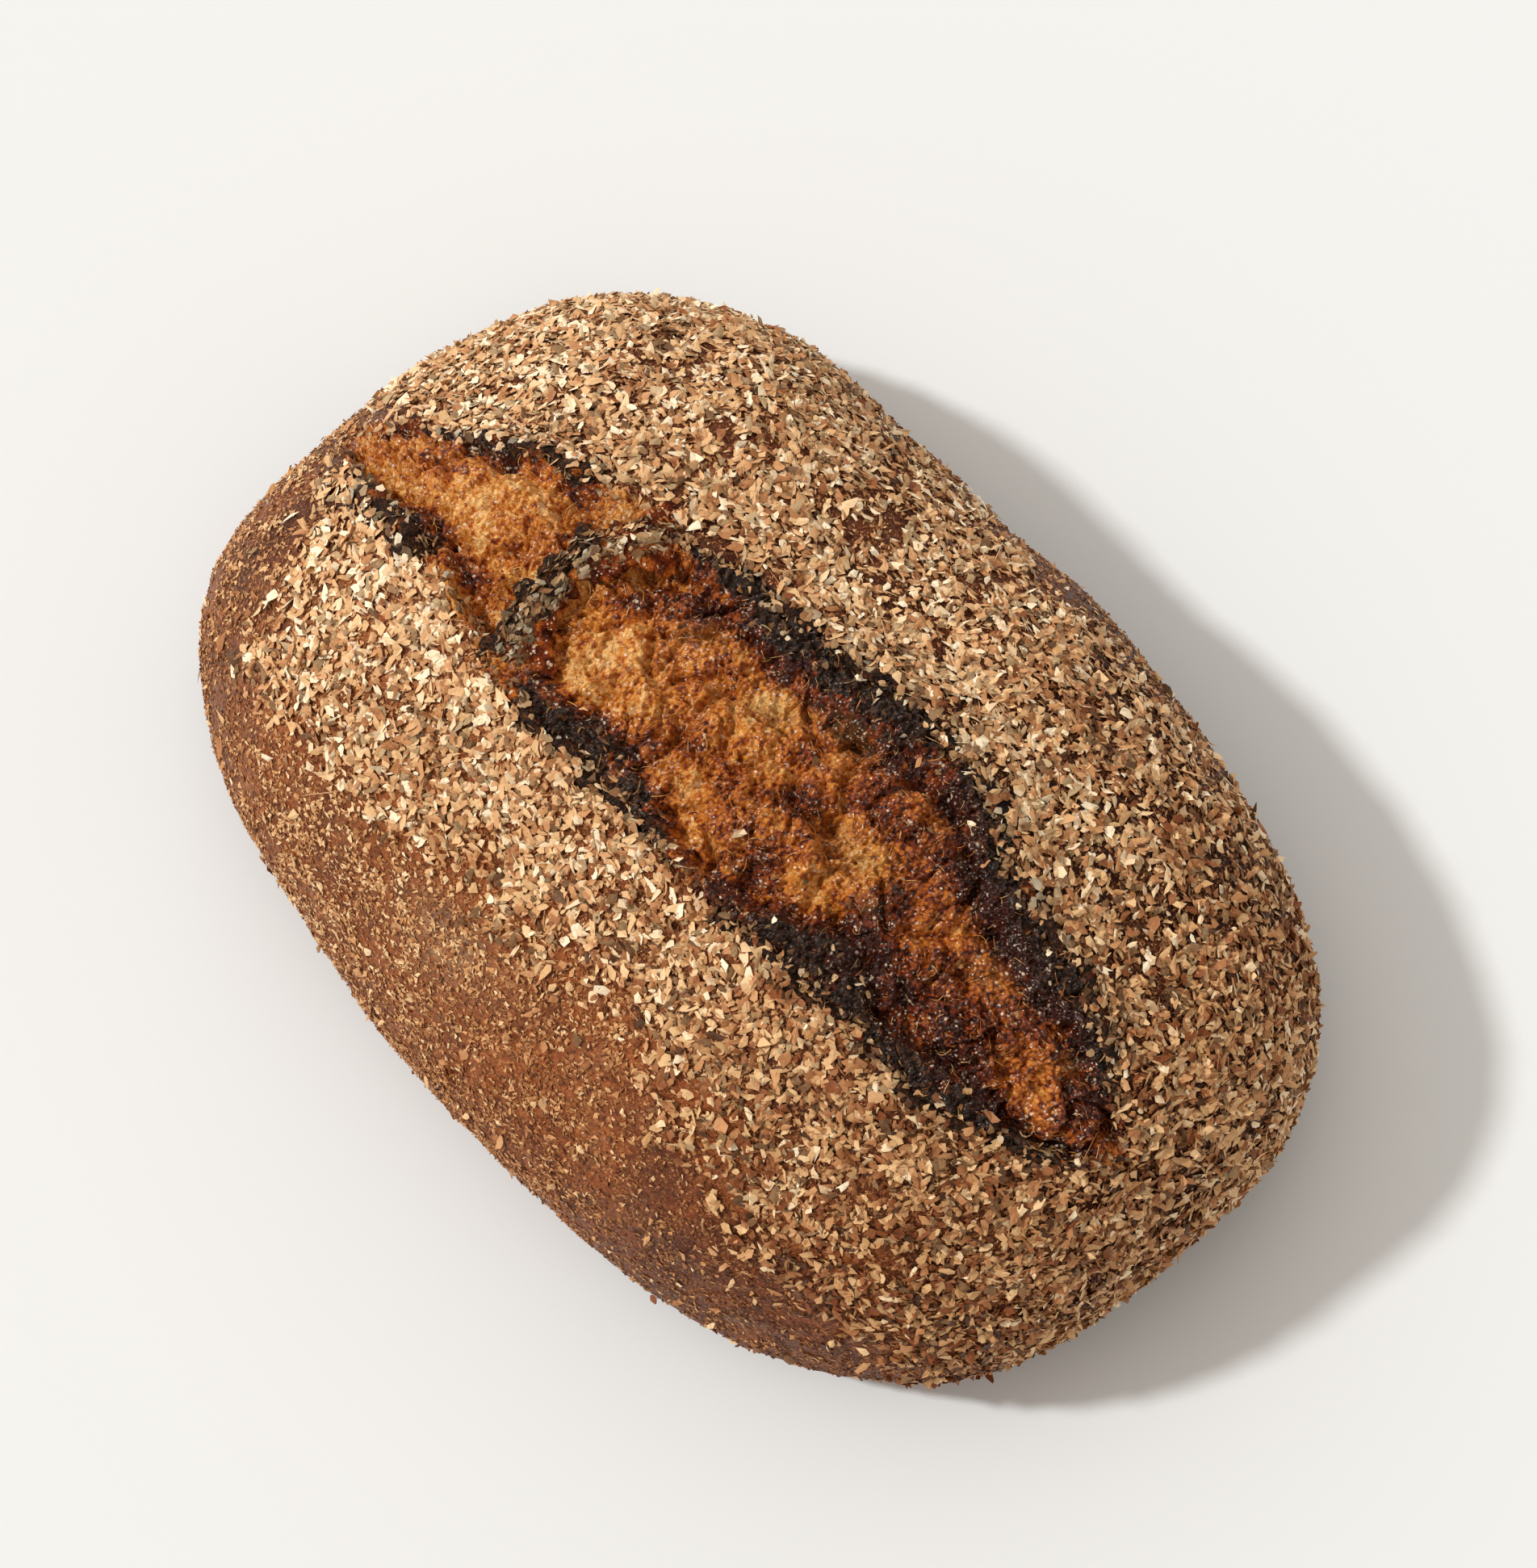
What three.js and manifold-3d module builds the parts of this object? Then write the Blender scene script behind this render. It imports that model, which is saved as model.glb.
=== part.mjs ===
// Sourdough loaf: a long oval loaf that split open along its back. The torn crumb stands in the
// split, its crust edges curl up as lips, a strap of crust bridges it, and coarse bran flakes
// coat the top. Millimetres, +Z up. +X runs along the loaf, the origin is under the middle of
// the flat base, and the bare flank without bran is on the -Y side.

import * as THREE from 'three';
import { mergeVertices } from 'three/addons/utils/BufferGeometryUtils.js';
import Module from 'manifold-3d';

// Overall form
const LENGTH = 250;
const WIDTH = 171.4;
const HEIGHT = 90;
const BELLY_HEIGHT = 14;
const BASE_INSET = 11;
const PLAN_SQUARENESS = 2.7;
const CROWN_FULLNESS_SIDE = 2.15;
const CROWN_FULLNESS_END = 2.5;

// Slow unevenness of the outline: lobes round the loaf, cosine share, sine share
const OUTLINE_LOBES = [
  [2, 0, 0.009],
  [3, -0.0028, 0.0028],
  [4, 0, 0.0082],
  [5, 0.0044, -0.003],
  [6, -0.0036, 0.0081],
  [8, -0.0012, -0.0028],
];

// Slow swells of the crust
const SWELL_COUNT = 6;
const SWELL_LENGTH = 95;
const SWELL_RISE = 0.9;
const SWELL_CROWDING = 0.4;
const SWELL_PHASE_STEP = 1.7;
const GOLDEN_ANGLE = 2.39996;

// Mesh of the top: cells along, and cells across each band between belly and split edges
const CELLS_ALONG = 60;
const BAND_CELLS = [11, 3, 14, 3, 11];
const BAND_HALF_WIDTHS = [9, 6];
const WALL_RINGS = 2;

// The split in plan, from one tip to the other: station along X, then the -Y crust edge, the
// -Y and +Y limits of the burnt rim, and the +Y crust edge
const SPLIT_STATIONS = [
  [-118, -6, -5.8, -4.2, -4],
  [-110, -13, -12, 2, 4],
  [-98, -14.5, -13, 4, 6.5],
  [-80, -18, -11, 9.5, 12.5],
  [-62, -21, -19, 16, 20],
  [-44, -24, -18, 18, 23.5],
  [-22, -24, -16, 19.5, 27.5],
  [0, -24, -20.5, 19.5, 30],
  [18, -25, -20, 25, 32.5],
  [36, -23, -12, 24, 30],
  [54, -22, -16, 14, 23],
  [74, -20, -12, 11, 19.5],
  [90, -12.5, -9.5, 9.5, 12.5],
  [104, -1, -0.8, 4.8, 5],
  [110, 3, 3.2, 3.8, 4],
];
const CRUST_LOW = 1;
const RIM_LOW = 2;
const RIM_HIGH = 3;
const CRUST_HIGH = 4;
const TIP_FADE = 10;

// Lips, crumb and strap of the split
const LIP_RISE_HIGH = 1.8;
const LIP_RISE_LOW = 1.5;
const LIP_SPREAD = 8;
const VALLEY_DEPTH = 3;
const CRUMB_CROWN = 1.2;
const CRUMB_FLATNESS = 4;
const STRAP_X = -54.5;
const STRAP_BEND = 0.018;
const STRAP_MIDDLE_Y = -2;
const STRAP_HALF_WIDTH = 4;
const STRAP_RISE = 2.4;
const STRAP_TROUGH_AHEAD = 8;
const STRAP_TROUGH_SPREAD = 4;
const STRAP_TROUGH_DEPTH = 2.4;

// Curled ears that stand above the lips: place along X, spread, rise, side of the split
const EARS = [
  { x: -72, spread: 14, rise: 1.6, side: 1 },
  { x: 4, spread: 26, rise: 1.8, side: 1 },
  { x: 46, spread: 20, rise: 1.3, side: 1 },
  { x: -88, spread: 9, rise: 1.8, side: -1 },
  { x: -28, spread: 16, rise: 1.2, side: -1 },
  { x: 38, spread: 18, rise: 1.4, side: -1 },
];

// Swollen lobes and hollows of the crumb: centre, half sizes, heading in degrees, rise
const CRUMB_FORMS = [
  { x: -86, y: -3, along: 24, across: 7, heading: 8, rise: 1.7 },
  { x: -64, y: 7, along: 15, across: 8, heading: 25, rise: 1.6 },
  { x: -68, y: -14, along: 12, across: 5, heading: -8, rise: -1.4 },
  { x: -24, y: -4, along: 20, across: 12, heading: 48, rise: 2.8 },
  { x: -32, y: 12, along: 12, across: 6, heading: 40, rise: 1.2 },
  { x: -17, y: -5, along: 9, across: 3, heading: -50, rise: -1.8 },
  { x: -2, y: 11, along: 9, across: 4, heading: 0, rise: -2.2 },
  { x: 4, y: -3, along: 14, across: 9, heading: -35, rise: 2.0 },
  { x: 9, y: 19, along: 6, across: 3, heading: 8, rise: -1.8 },
  { x: 8, y: -15, along: 12, across: 5, heading: 0, rise: 1.4 },
  { x: 19, y: 3, along: 6, across: 4, heading: 20, rise: -2.6 },
  { x: 28, y: 13, along: 14, across: 6, heading: 12, rise: 1.8 },
  { x: 22, y: -6, along: 10, across: 3, heading: -50, rise: 1.6 },
  { x: 31, y: -8, along: 9, across: 4, heading: -12, rise: -2.0 },
  { x: 52, y: 7, along: 18, across: 6, heading: -6, rise: 1.4 },
  { x: 50, y: -7, along: 14, across: 6, heading: 0, rise: 0.9 },
  { x: 78, y: -3, along: 18, across: 7, heading: 0, rise: 1.0 },
];

// Deep holes torn into the crumb: place, half sizes, heading in degrees, depth
const HOLES = [
  { x: -78, y: -14.5, along: 4.2, across: 1.7, heading: 80, depth: 6 },
  { x: -56.5, y: -12, along: 2, across: 1.4, heading: 20, depth: 3.5 },
  { x: -31, y: 7.5, along: 6.5, across: 0.9, heading: 48, depth: 4 },
  { x: 19, y: 3.4, along: 2.6, across: 1.6, heading: 25, depth: 3.5 },
  { x: 9.5, y: 19, along: 3.2, across: 1.5, heading: 10, depth: 3 },
  { x: 33, y: -8.5, along: 2.8, across: 1.3, heading: -10, depth: 3 },
  { x: 58, y: 4.5, along: 2.6, across: 1.9, heading: 0, depth: 4 },
  { x: 100, y: 3.6, along: 2.8, across: 1.5, heading: 15, depth: 3.5 },
];

// Bran coat: its limits on the flanks, and the flakes that stand out most
const BRAN_LOW_Y = -51;
const BRAN_LOW_EXTRA = 9;
const BRAN_LOW_EXTRA_X = 62;
const BRAN_LOW_EXTRA_SPREAD = 24;
const BRAN_HIGH_Y = 77;
const BRAN_END_X = -108;
const FLAKE_COUNT = 125;
const FLAKE_SIDES = 5;
const FLAKE_RADIUS_LEAST = 1.5;
const FLAKE_RADIUS_MOST = 2.3;
const FLAKE_THICKNESS = 1.0;
const FLAKE_SUNK = 0.45;
const FLAKE_TILT = 0.5;
const FLAKE_GAP = 9;
const FLAKE_SEED = 4127;

const CRUST_COLOUR = 0xb98f63;

const HALF_TURN = Math.PI;
const QUARTER_TURN = Math.PI / 2;
const DEGREE = Math.PI / 180;

function smoothstep(low, high, value) {
  const share = Math.min(1, Math.max(0, (value - low) / (high - low)));
  return share * share * (3 - 2 * share);
}

function bell(value, centre, spread) {
  return Math.exp(-(((value - centre) / spread) ** 2));
}

// Repeatable random numbers between 0 and 1
function randomSource(seed) {
  let state = seed;
  return () => {
    state = (state * 1664525 + 1013904223) % 4294967296;
    return state / 4294967296;
  };
}

// Distance from the middle to the widest line at a heading: a superellipse with slow lobes
function outlineRadius(heading) {
  const along = Math.abs(Math.cos(heading) / (LENGTH / 2)) ** PLAN_SQUARENESS;
  const across = Math.abs(Math.sin(heading) / (WIDTH / 2)) ** PLAN_SQUARENESS;
  let swelling = 1;
  for (const [lobes, cosine, sine] of OUTLINE_LOBES) {
    swelling += cosine * Math.cos(lobes * heading) + sine * Math.sin(lobes * heading);
  }
  return swelling * (along + across) ** (-1 / PLAN_SQUARENESS);
}

// Low irregular swells of the crust, a sum of plane waves at turned headings
function crustSwell(x, y) {
  let rise = 0;
  for (let wave = 0; wave < SWELL_COUNT; wave += 1) {
    const heading = wave * GOLDEN_ANGLE;
    const travel = x * Math.cos(heading) + y * Math.sin(heading);
    const length = SWELL_LENGTH / (1 + SWELL_CROWDING * wave);
    const phase = SWELL_PHASE_STEP * wave;
    rise += (SWELL_RISE / (1 + wave)) * Math.sin((2 * HALF_TURN * travel) / length + phase);
  }
  return rise;
}

// One edge of the split at a station along X, by cubic pieces through the stations
function splitEdge(column, x) {
  const last = SPLIT_STATIONS.length - 1;
  const place = Math.min(SPLIT_STATIONS[last][0], Math.max(SPLIT_STATIONS[0][0], x));
  let i = 0;
  while (i < last - 1 && place > SPLIT_STATIONS[i + 1][0]) {
    i += 1;
  }
  const slopeAt = (k) => {
    const before = SPLIT_STATIONS[Math.max(0, k - 1)];
    const after = SPLIT_STATIONS[Math.min(last, k + 1)];
    return (after[column] - before[column]) / (after[0] - before[0]);
  };
  const span = SPLIT_STATIONS[i + 1][0] - SPLIT_STATIONS[i][0];
  const u = (place - SPLIT_STATIONS[i][0]) / span;
  const start = SPLIT_STATIONS[i][column];
  const end = SPLIT_STATIONS[i + 1][column];
  const startShare = 2 * u ** 3 - 3 * u ** 2 + 1;
  const startSlopeShare = u ** 3 - 2 * u ** 2 + u;
  const endSlopeShare = u ** 3 - u ** 2;
  const slopes = startSlopeShare * slopeAt(i) + endSlopeShare * slopeAt(i + 1);
  return startShare * start + (1 - startShare) * end + span * slopes;
}

// Oval bump or hollow at a point of the plan, 1 in its middle and fading outwards
function ovalBell(form, x, y) {
  const heading = form.heading * DEGREE;
  const dx = x - form.x;
  const dy = y - form.y;
  const along = dx * Math.cos(heading) + dy * Math.sin(heading);
  const across = -dx * Math.sin(heading) + dy * Math.cos(heading);
  return Math.exp(-((along / form.along) ** 2) - (across / form.across) ** 2);
}

// Height of the lip on one side of the split
function lipRise(x, side) {
  let rise = side > 0 ? LIP_RISE_HIGH : LIP_RISE_LOW;
  for (const ear of EARS) {
    if (ear.side === side) {
      rise += ear.rise * bell(x, ear.x, ear.spread);
    }
  }
  return rise;
}

// Rise of the split over the smooth dome: lips outside, valleys and swollen crumb inside, and
// the strap of crust across
function splitRelief(x, y) {
  const firstTip = SPLIT_STATIONS[0][0];
  const lastTip = SPLIT_STATIONS[SPLIT_STATIONS.length - 1][0];
  const fade = smoothstep(firstTip, firstTip + TIP_FADE, x)
    * (1 - smoothstep(lastTip - TIP_FADE, lastTip, x));
  const crustLow = splitEdge(CRUST_LOW, x);
  const rimLow = splitEdge(RIM_LOW, x);
  const rimHigh = splitEdge(RIM_HIGH, x);
  const crustHigh = splitEdge(CRUST_HIGH, x);
  const inside = smoothstep(crustLow, Math.max(rimLow, crustLow + 2), y)
    * (1 - smoothstep(Math.min(rimHigh, crustHigh - 2), crustHigh, y));
  const beyond = Math.max(0, crustLow - y, y - crustHigh);
  const side = y > (crustLow + crustHigh) / 2 ? 1 : -1;
  const lip = lipRise(x, side) * bell(beyond, 0, LIP_SPREAD);
  const middle = (rimLow + rimHigh) / 2;
  const halfWidth = Math.max(2, (rimHigh - rimLow) / 2);
  const across = Math.min(1, Math.abs(y - middle) / halfWidth);
  let crumb = CRUMB_CROWN - (CRUMB_CROWN + VALLEY_DEPTH) * across ** CRUMB_FLATNESS;
  for (const form of CRUMB_FORMS) {
    crumb += form.rise * ovalBell(form, x, y);
  }
  const strapLine = STRAP_X + STRAP_BEND * (y - STRAP_MIDDLE_Y) ** 2;
  crumb -= STRAP_TROUGH_DEPTH * bell(x, strapLine + STRAP_TROUGH_AHEAD, STRAP_TROUGH_SPREAD);
  const strap = Math.exp(-(((x - strapLine) / STRAP_HALF_WIDTH) ** 4));
  crumb += (STRAP_RISE - crumb) * strap;
  return fade * (lip * (1 - inside) + crumb * inside);
}

// Point of the smooth dome for a corner (s, t) of a square from -1 to 1: the square is drawn
// to a disc, the disc's radius is the turn from crown to belly, and its edge the outline
function domePoint(s, t) {
  const discX = s * Math.sqrt(1 - (t * t) / 2);
  const discY = t * Math.sqrt(1 - (s * s) / 2);
  const turn = Math.min(1, Math.hypot(discX, discY)) * QUARTER_TURN;
  const heading = Math.atan2(discY * WIDTH, discX * LENGTH);
  const endShare = Math.cos(heading) ** 2;
  const fullness = CROWN_FULLNESS_SIDE + (CROWN_FULLNESS_END - CROWN_FULLNESS_SIDE) * endShare;
  const radius = outlineRadius(heading) * Math.sin(turn) ** (2 / fullness);
  const lift = Math.max(0, Math.cos(turn)) ** (2 / fullness);
  const z = BELLY_HEIGHT + (HEIGHT - BELLY_HEIGHT) * lift;
  return new THREE.Vector3(radius * Math.cos(heading), radius * Math.sin(heading), z);
}

// Outward direction of the smooth dome, from two short steps on the square
function domeNormal(s, t) {
  const step = 0.002;
  const sStep = s > 0 ? -step : step;
  const tStep = t > 0 ? -step : step;
  const here = domePoint(s, t);
  const alongS = domePoint(s + sStep, t).sub(here).multiplyScalar(Math.sign(sStep));
  const alongT = domePoint(s, t + tStep).sub(here).multiplyScalar(Math.sign(tStep));
  return alongS.cross(alongT).normalize();
}

// Point of the finished crust: the dome raised along its normal by swells and split, both
// dying out towards the belly
function crustPoint(s, t) {
  const point = domePoint(s, t);
  const edge = Math.max(Math.abs(s), Math.abs(t));
  const rise = crustSwell(point.x, point.y) * (1 - smoothstep(0.8, 1, edge))
    + splitRelief(point.x, point.y) * (1 - smoothstep(0.97, 1, edge));
  return point.add(domeNormal(s, t).multiplyScalar(rise));
}

// Square place across the loaf at which a column of the mesh meets a line of the split
function placeAcross(s, lineAt) {
  let t = 0;
  for (let round = 0; round < 12; round += 1) {
    const here = domePoint(s, t);
    t += (0.7 * (lineAt(here.x) - here.y)) / (WIDTH / 2);
  }
  return t;
}

// Places of the rows along one column: bands between the belly lines and the split's four
// lines, which stay a least width apart so that the rows don't bunch at the tips
function rowPlaces(s) {
  const middleAt = (x) => (splitEdge(CRUST_LOW, x) + splitEdge(CRUST_HIGH, x)) / 2;
  const [outer, inner] = BAND_HALF_WIDTHS;
  const bounds = [
    -1,
    placeAcross(s, (x) => Math.min(splitEdge(CRUST_LOW, x), middleAt(x) - outer)),
    placeAcross(s, (x) => Math.min(splitEdge(RIM_LOW, x), middleAt(x) - inner)),
    placeAcross(s, (x) => Math.max(splitEdge(RIM_HIGH, x), middleAt(x) + inner)),
    placeAcross(s, (x) => Math.max(splitEdge(CRUST_HIGH, x), middleAt(x) + outer)),
    1,
  ];
  const places = [-1];
  BAND_CELLS.forEach((cells, band) => {
    for (let cell = 1; cell <= cells; cell += 1) {
      places.push(bounds[band] + ((bounds[band + 1] - bounds[band]) * cell) / cells);
    }
  });
  return places;
}

// Closed shell of the loaf: the top grid, rings down the lower wall, and the flat base
function loafShell() {
  const points = [];
  const triangles = [];
  const columns = CELLS_ALONG + 1;
  const cellsAcross = BAND_CELLS.reduce((sum, cells) => sum + cells, 0);
  for (let column = 0; column <= CELLS_ALONG; column += 1) {
    const s = (2 * column) / CELLS_ALONG - 1;
    rowPlaces(s).forEach((t, row) => {
      points[row * columns + column] = crustPoint(s, t);
    });
  }
  for (let row = 0; row < cellsAcross; row += 1) {
    for (let column = 0; column < CELLS_ALONG; column += 1) {
      const corner = row * columns + column;
      const right = corner + 1;
      const above = corner + columns;
      const across = above + 1;
      if ((row + column) % 2 === 0) {
        triangles.push(corner, right, across, corner, across, above);
      } else {
        triangles.push(corner, right, above, right, across, above);
      }
    }
  }

  const belly = [];
  for (let column = 0; column < CELLS_ALONG; column += 1) {
    belly.push(column);
  }
  for (let row = 0; row < cellsAcross; row += 1) {
    belly.push(row * columns + CELLS_ALONG);
  }
  for (let column = CELLS_ALONG; column > 0; column -= 1) {
    belly.push(cellsAcross * columns + column);
  }
  for (let row = cellsAcross; row > 0; row -= 1) {
    belly.push(row * columns);
  }

  let ring = belly;
  for (let level = 1; level <= WALL_RINGS; level += 1) {
    const turn = (QUARTER_TURN * level) / WALL_RINGS;
    const z = BELLY_HEIGHT * (1 - Math.sin(turn));
    const inset = BASE_INSET * (1 - Math.cos(turn));
    const lower = belly.map((index) => {
      const edge = points[index];
      const reach = Math.hypot(edge.x, edge.y);
      const share = (reach - inset) / reach;
      points.push(new THREE.Vector3(edge.x * share, edge.y * share, z));
      return points.length - 1;
    });
    for (let i = 0; i < ring.length; i += 1) {
      const next = (i + 1) % ring.length;
      triangles.push(ring[i], lower[i], lower[next], ring[i], lower[next], ring[next]);
    }
    ring = lower;
  }

  const centre = points.length;
  points.push(new THREE.Vector3(0, 0, 0));
  for (let i = 0; i < ring.length; i += 1) {
    triangles.push(ring[i], centre, ring[(i + 1) % ring.length]);
  }

  const geometry = new THREE.BufferGeometry();
  geometry.setFromPoints(points);
  geometry.setIndex(triangles);
  return geometry;
}

// One bran flake: a small uneven slab with a few sides
function flakeGeometry(random) {
  const radius = FLAKE_RADIUS_LEAST + (FLAKE_RADIUS_MOST - FLAKE_RADIUS_LEAST) * random();
  const outline = new THREE.Shape();
  for (let corner = 0; corner < FLAKE_SIDES; corner += 1) {
    const heading = (2 * HALF_TURN * (corner + 0.5 * random())) / FLAKE_SIDES;
    const reach = radius * (0.75 + 0.4 * random());
    const x = reach * Math.cos(heading);
    const y = 0.8 * reach * Math.sin(heading);
    if (corner === 0) {
      outline.moveTo(x, y);
    } else {
      outline.lineTo(x, y);
    }
  }
  outline.closePath();
  const slab = new THREE.ExtrudeGeometry(outline, { depth: FLAKE_THICKNESS, bevelEnabled: false });
  slab.translate(0, 0, -FLAKE_SUNK);
  slab.rotateX(FLAKE_TILT * (2 * random() - 1));
  slab.rotateZ(2 * HALF_TURN * random());
  return slab;
}

// Whether the bran coat reaches a point of the plan
function hasBran(x, y) {
  const extra = BRAN_LOW_EXTRA * bell(x, BRAN_LOW_EXTRA_X, BRAN_LOW_EXTRA_SPREAD);
  if (y < BRAN_LOW_Y - extra || y > BRAN_HIGH_Y || x < BRAN_END_X) {
    return false;
  }
  const first = SPLIT_STATIONS[0][0];
  const last = SPLIT_STATIONS[SPLIT_STATIONS.length - 1][0];
  const insideSplit = x > first && x < last
    && y > splitEdge(CRUST_LOW, x) - FLAKE_RADIUS_MOST
    && y < splitEdge(CRUST_HIGH, x) + FLAKE_RADIUS_MOST;
  return !insideSplit;
}

// The flakes that stand out most, spread evenly over the bran coat by an even sequence
function branFlakes() {
  const random = randomSource(FLAKE_SEED);
  const flakes = [];
  const taken = [];
  const stepS = 0.7548777;
  const stepT = 0.5698403;
  for (let i = 1; flakes.length < FLAKE_COUNT && i < 40 * FLAKE_COUNT; i += 1) {
    const s = 1.9 * ((i * stepS) % 1) - 0.95;
    const t = 1.9 * ((i * stepT) % 1) - 0.95;
    const base = crustPoint(s, t);
    const near = taken.some((other) => other.distanceTo(base) < FLAKE_GAP);
    if (near || !hasBran(base.x, base.y)) {
      continue;
    }
    taken.push(base);
    const flake = flakeGeometry(random);
    const up = new THREE.Vector3(0, 0, 1);
    const turn = new THREE.Quaternion().setFromUnitVectors(up, domeNormal(s, t));
    flake.applyQuaternion(turn);
    flake.translate(base.x, base.y, base.z);
    flakes.push(flake);
  }
  return flakes;
}

// Cutters for the deep holes: small egg shapes that hang down through the crumb
function holeCutters() {
  return HOLES.map((hole) => {
    const cutter = new THREE.SphereGeometry(1, 8, 5);
    cutter.rotateX(QUARTER_TURN);
    cutter.scale(hole.along, hole.across, hole.depth);
    cutter.rotateZ(hole.heading * DEGREE);
    const surface = surfaceAt(hole.x, hole.y);
    cutter.translate(hole.x, hole.y, surface);
    return cutter;
  });
}

// Height of the crust above a point of the plan, by stepping the square's corner towards it
function surfaceAt(x, y) {
  let s = x / (LENGTH / 2);
  let t = y / (WIDTH / 2);
  for (let round = 0; round < 60; round += 1) {
    const here = domePoint(s, t);
    s += (0.6 * (x - here.x)) / (LENGTH / 2);
    t += (0.6 * (y - here.y)) / (WIDTH / 2);
    s = Math.min(0.98, Math.max(-0.98, s));
    t = Math.min(0.98, Math.max(-0.98, t));
  }
  return crustPoint(s, t).z;
}

const wasm = await Module();
wasm.setup();

function toSolid(geometry) {
  const bare = geometry.clone();
  bare.deleteAttribute('normal');
  bare.deleteAttribute('uv');
  const merged = mergeVertices(bare, 1e-4);
  return new wasm.Manifold(new wasm.Mesh({
    numProp: 3,
    vertProperties: new Float32Array(merged.attributes.position.array),
    triVerts: new Uint32Array(merged.index.array),
  }));
}

function toGeometry(solid) {
  const mesh = solid.getMesh();
  const geometry = new THREE.BufferGeometry();
  geometry.setAttribute('position', new THREE.BufferAttribute(mesh.vertProperties, 3));
  geometry.setIndex(new THREE.BufferAttribute(mesh.triVerts, 1));
  geometry.computeVertexNormals();
  return geometry;
}

function buildLoaf() {
  let solid = toSolid(loafShell());
  for (const cutter of holeCutters()) {
    solid = solid.subtract(toSolid(cutter));
  }
  for (const flake of branFlakes()) {
    solid = solid.add(toSolid(flake));
  }
  const geometry = toGeometry(solid);
  geometry.computeBoundingBox();
  const box = geometry.boundingBox;
  geometry.translate(-(box.min.x + box.max.x) / 2, -(box.min.y + box.max.y) / 2, -box.min.z);
  const material = new THREE.MeshStandardMaterial({
    color: CRUST_COLOUR,
    roughness: 0.8,
    metalness: 0,
  });
  const mesh = new THREE.Mesh(geometry, material);
  mesh.name = 'loaf';
  return mesh;
}

const sourdough = new THREE.Group();
sourdough.add(buildLoaf());

export default sourdough;
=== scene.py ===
"""Looks of a sourdough loaf: baked crust, torn crumb, burnt lips, crust strap and bran coat.

Every form is worked out in millimetres from the loaf's own sizes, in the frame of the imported
model, and is turned to metres where a mesh is made. The long axis is X, the bare flank is on
the -Y side, and the loaf stands on Z = 0.
"""

import itertools
import logging
import math
from dataclasses import dataclass, field
from enum import Enum

import bpy
import numpy as np
from mathutils import Matrix, Vector


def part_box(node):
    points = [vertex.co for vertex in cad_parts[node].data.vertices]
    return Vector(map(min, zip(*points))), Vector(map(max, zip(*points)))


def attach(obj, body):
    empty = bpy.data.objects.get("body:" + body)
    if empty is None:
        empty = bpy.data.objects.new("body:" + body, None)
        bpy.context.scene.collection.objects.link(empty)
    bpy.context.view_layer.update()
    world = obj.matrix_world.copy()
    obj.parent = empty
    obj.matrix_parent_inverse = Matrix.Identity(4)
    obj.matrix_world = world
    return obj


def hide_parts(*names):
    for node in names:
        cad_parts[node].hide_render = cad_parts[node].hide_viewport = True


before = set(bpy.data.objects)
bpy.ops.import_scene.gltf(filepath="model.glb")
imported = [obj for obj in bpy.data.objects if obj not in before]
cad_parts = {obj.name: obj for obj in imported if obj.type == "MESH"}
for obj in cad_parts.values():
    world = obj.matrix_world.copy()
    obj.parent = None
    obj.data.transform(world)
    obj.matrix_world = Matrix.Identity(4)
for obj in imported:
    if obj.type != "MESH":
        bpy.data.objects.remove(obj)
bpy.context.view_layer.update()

MM = 0.001
LOG = logging.getLogger("loaf")

Array = np.ndarray
Colour = tuple[float, float, float]
Span = tuple[float, float]
Draws = np.random.Generator
Object = bpy.types.Object
Socket = bpy.types.NodeSocket

# A noise field's bump reaches this many times its raw value, to span about -1 to 1
NOISE_GAIN = 1.6
# The Mix node's sockets for colours: factor, A and B, and the result
MIX_COLOUR_INPUTS = (0, 6, 7)
MIX_COLOUR_OUTPUT = 2


def ease(low: Array | float, high: Array | float, value: Array | float) -> Array:
    """Eased share of the way from low to high: 3k squared minus 2k cubed, k held in 0 to 1.

    Args:
        low: Value at which the share is 0.
        high: Value at which the share is 1.
        value: Values to place between them.

    Returns:
        The eased share for each value.
    """
    share = np.clip((value - low) / (high - low), 0.0, 1.0)
    return share * share * (3.0 - 2.0 * share)


def bell(value: Array, centre: Array | float, spread: float) -> Array:
    """Bell curve: e to the minus square of the distance from the centre over the spread."""
    return np.exp(-(((value - centre) / spread) ** 2))


def mix(first: Array | float, second: Array | float, share: Array | float) -> Array:
    """Straight blend: first at share 0, second at share 1."""
    return first + (second - first) * share


def unit(vectors: Array) -> Array:
    """Vectors along the last axis brought to length 1."""
    return vectors / np.maximum(np.linalg.norm(vectors, axis=-1, keepdims=True), 1e-12)


def srgb(red: float, green: float, blue: float) -> tuple[float, float, float, float]:
    """Turns a colour as the eye reads it on a screen into the shader's linear values.

    Args:
        red: Red from 0 to 1.
        green: Green from 0 to 1.
        blue: Blue from 0 to 1.

    Returns:
        Linear red, green and blue, with an alpha of 1.
    """
    parts = [
        part / 12.92 if part <= 0.04045 else ((part + 0.055) / 1.055) ** 2.4
        for part in (red, green, blue)
    ]
    return (parts[0], parts[1], parts[2], 1.0)


GRADIENTS = unit(
    np.array([step for step in itertools.product((-1, 0, 1), repeat=3) if step.count(0) == 1])
)


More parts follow.
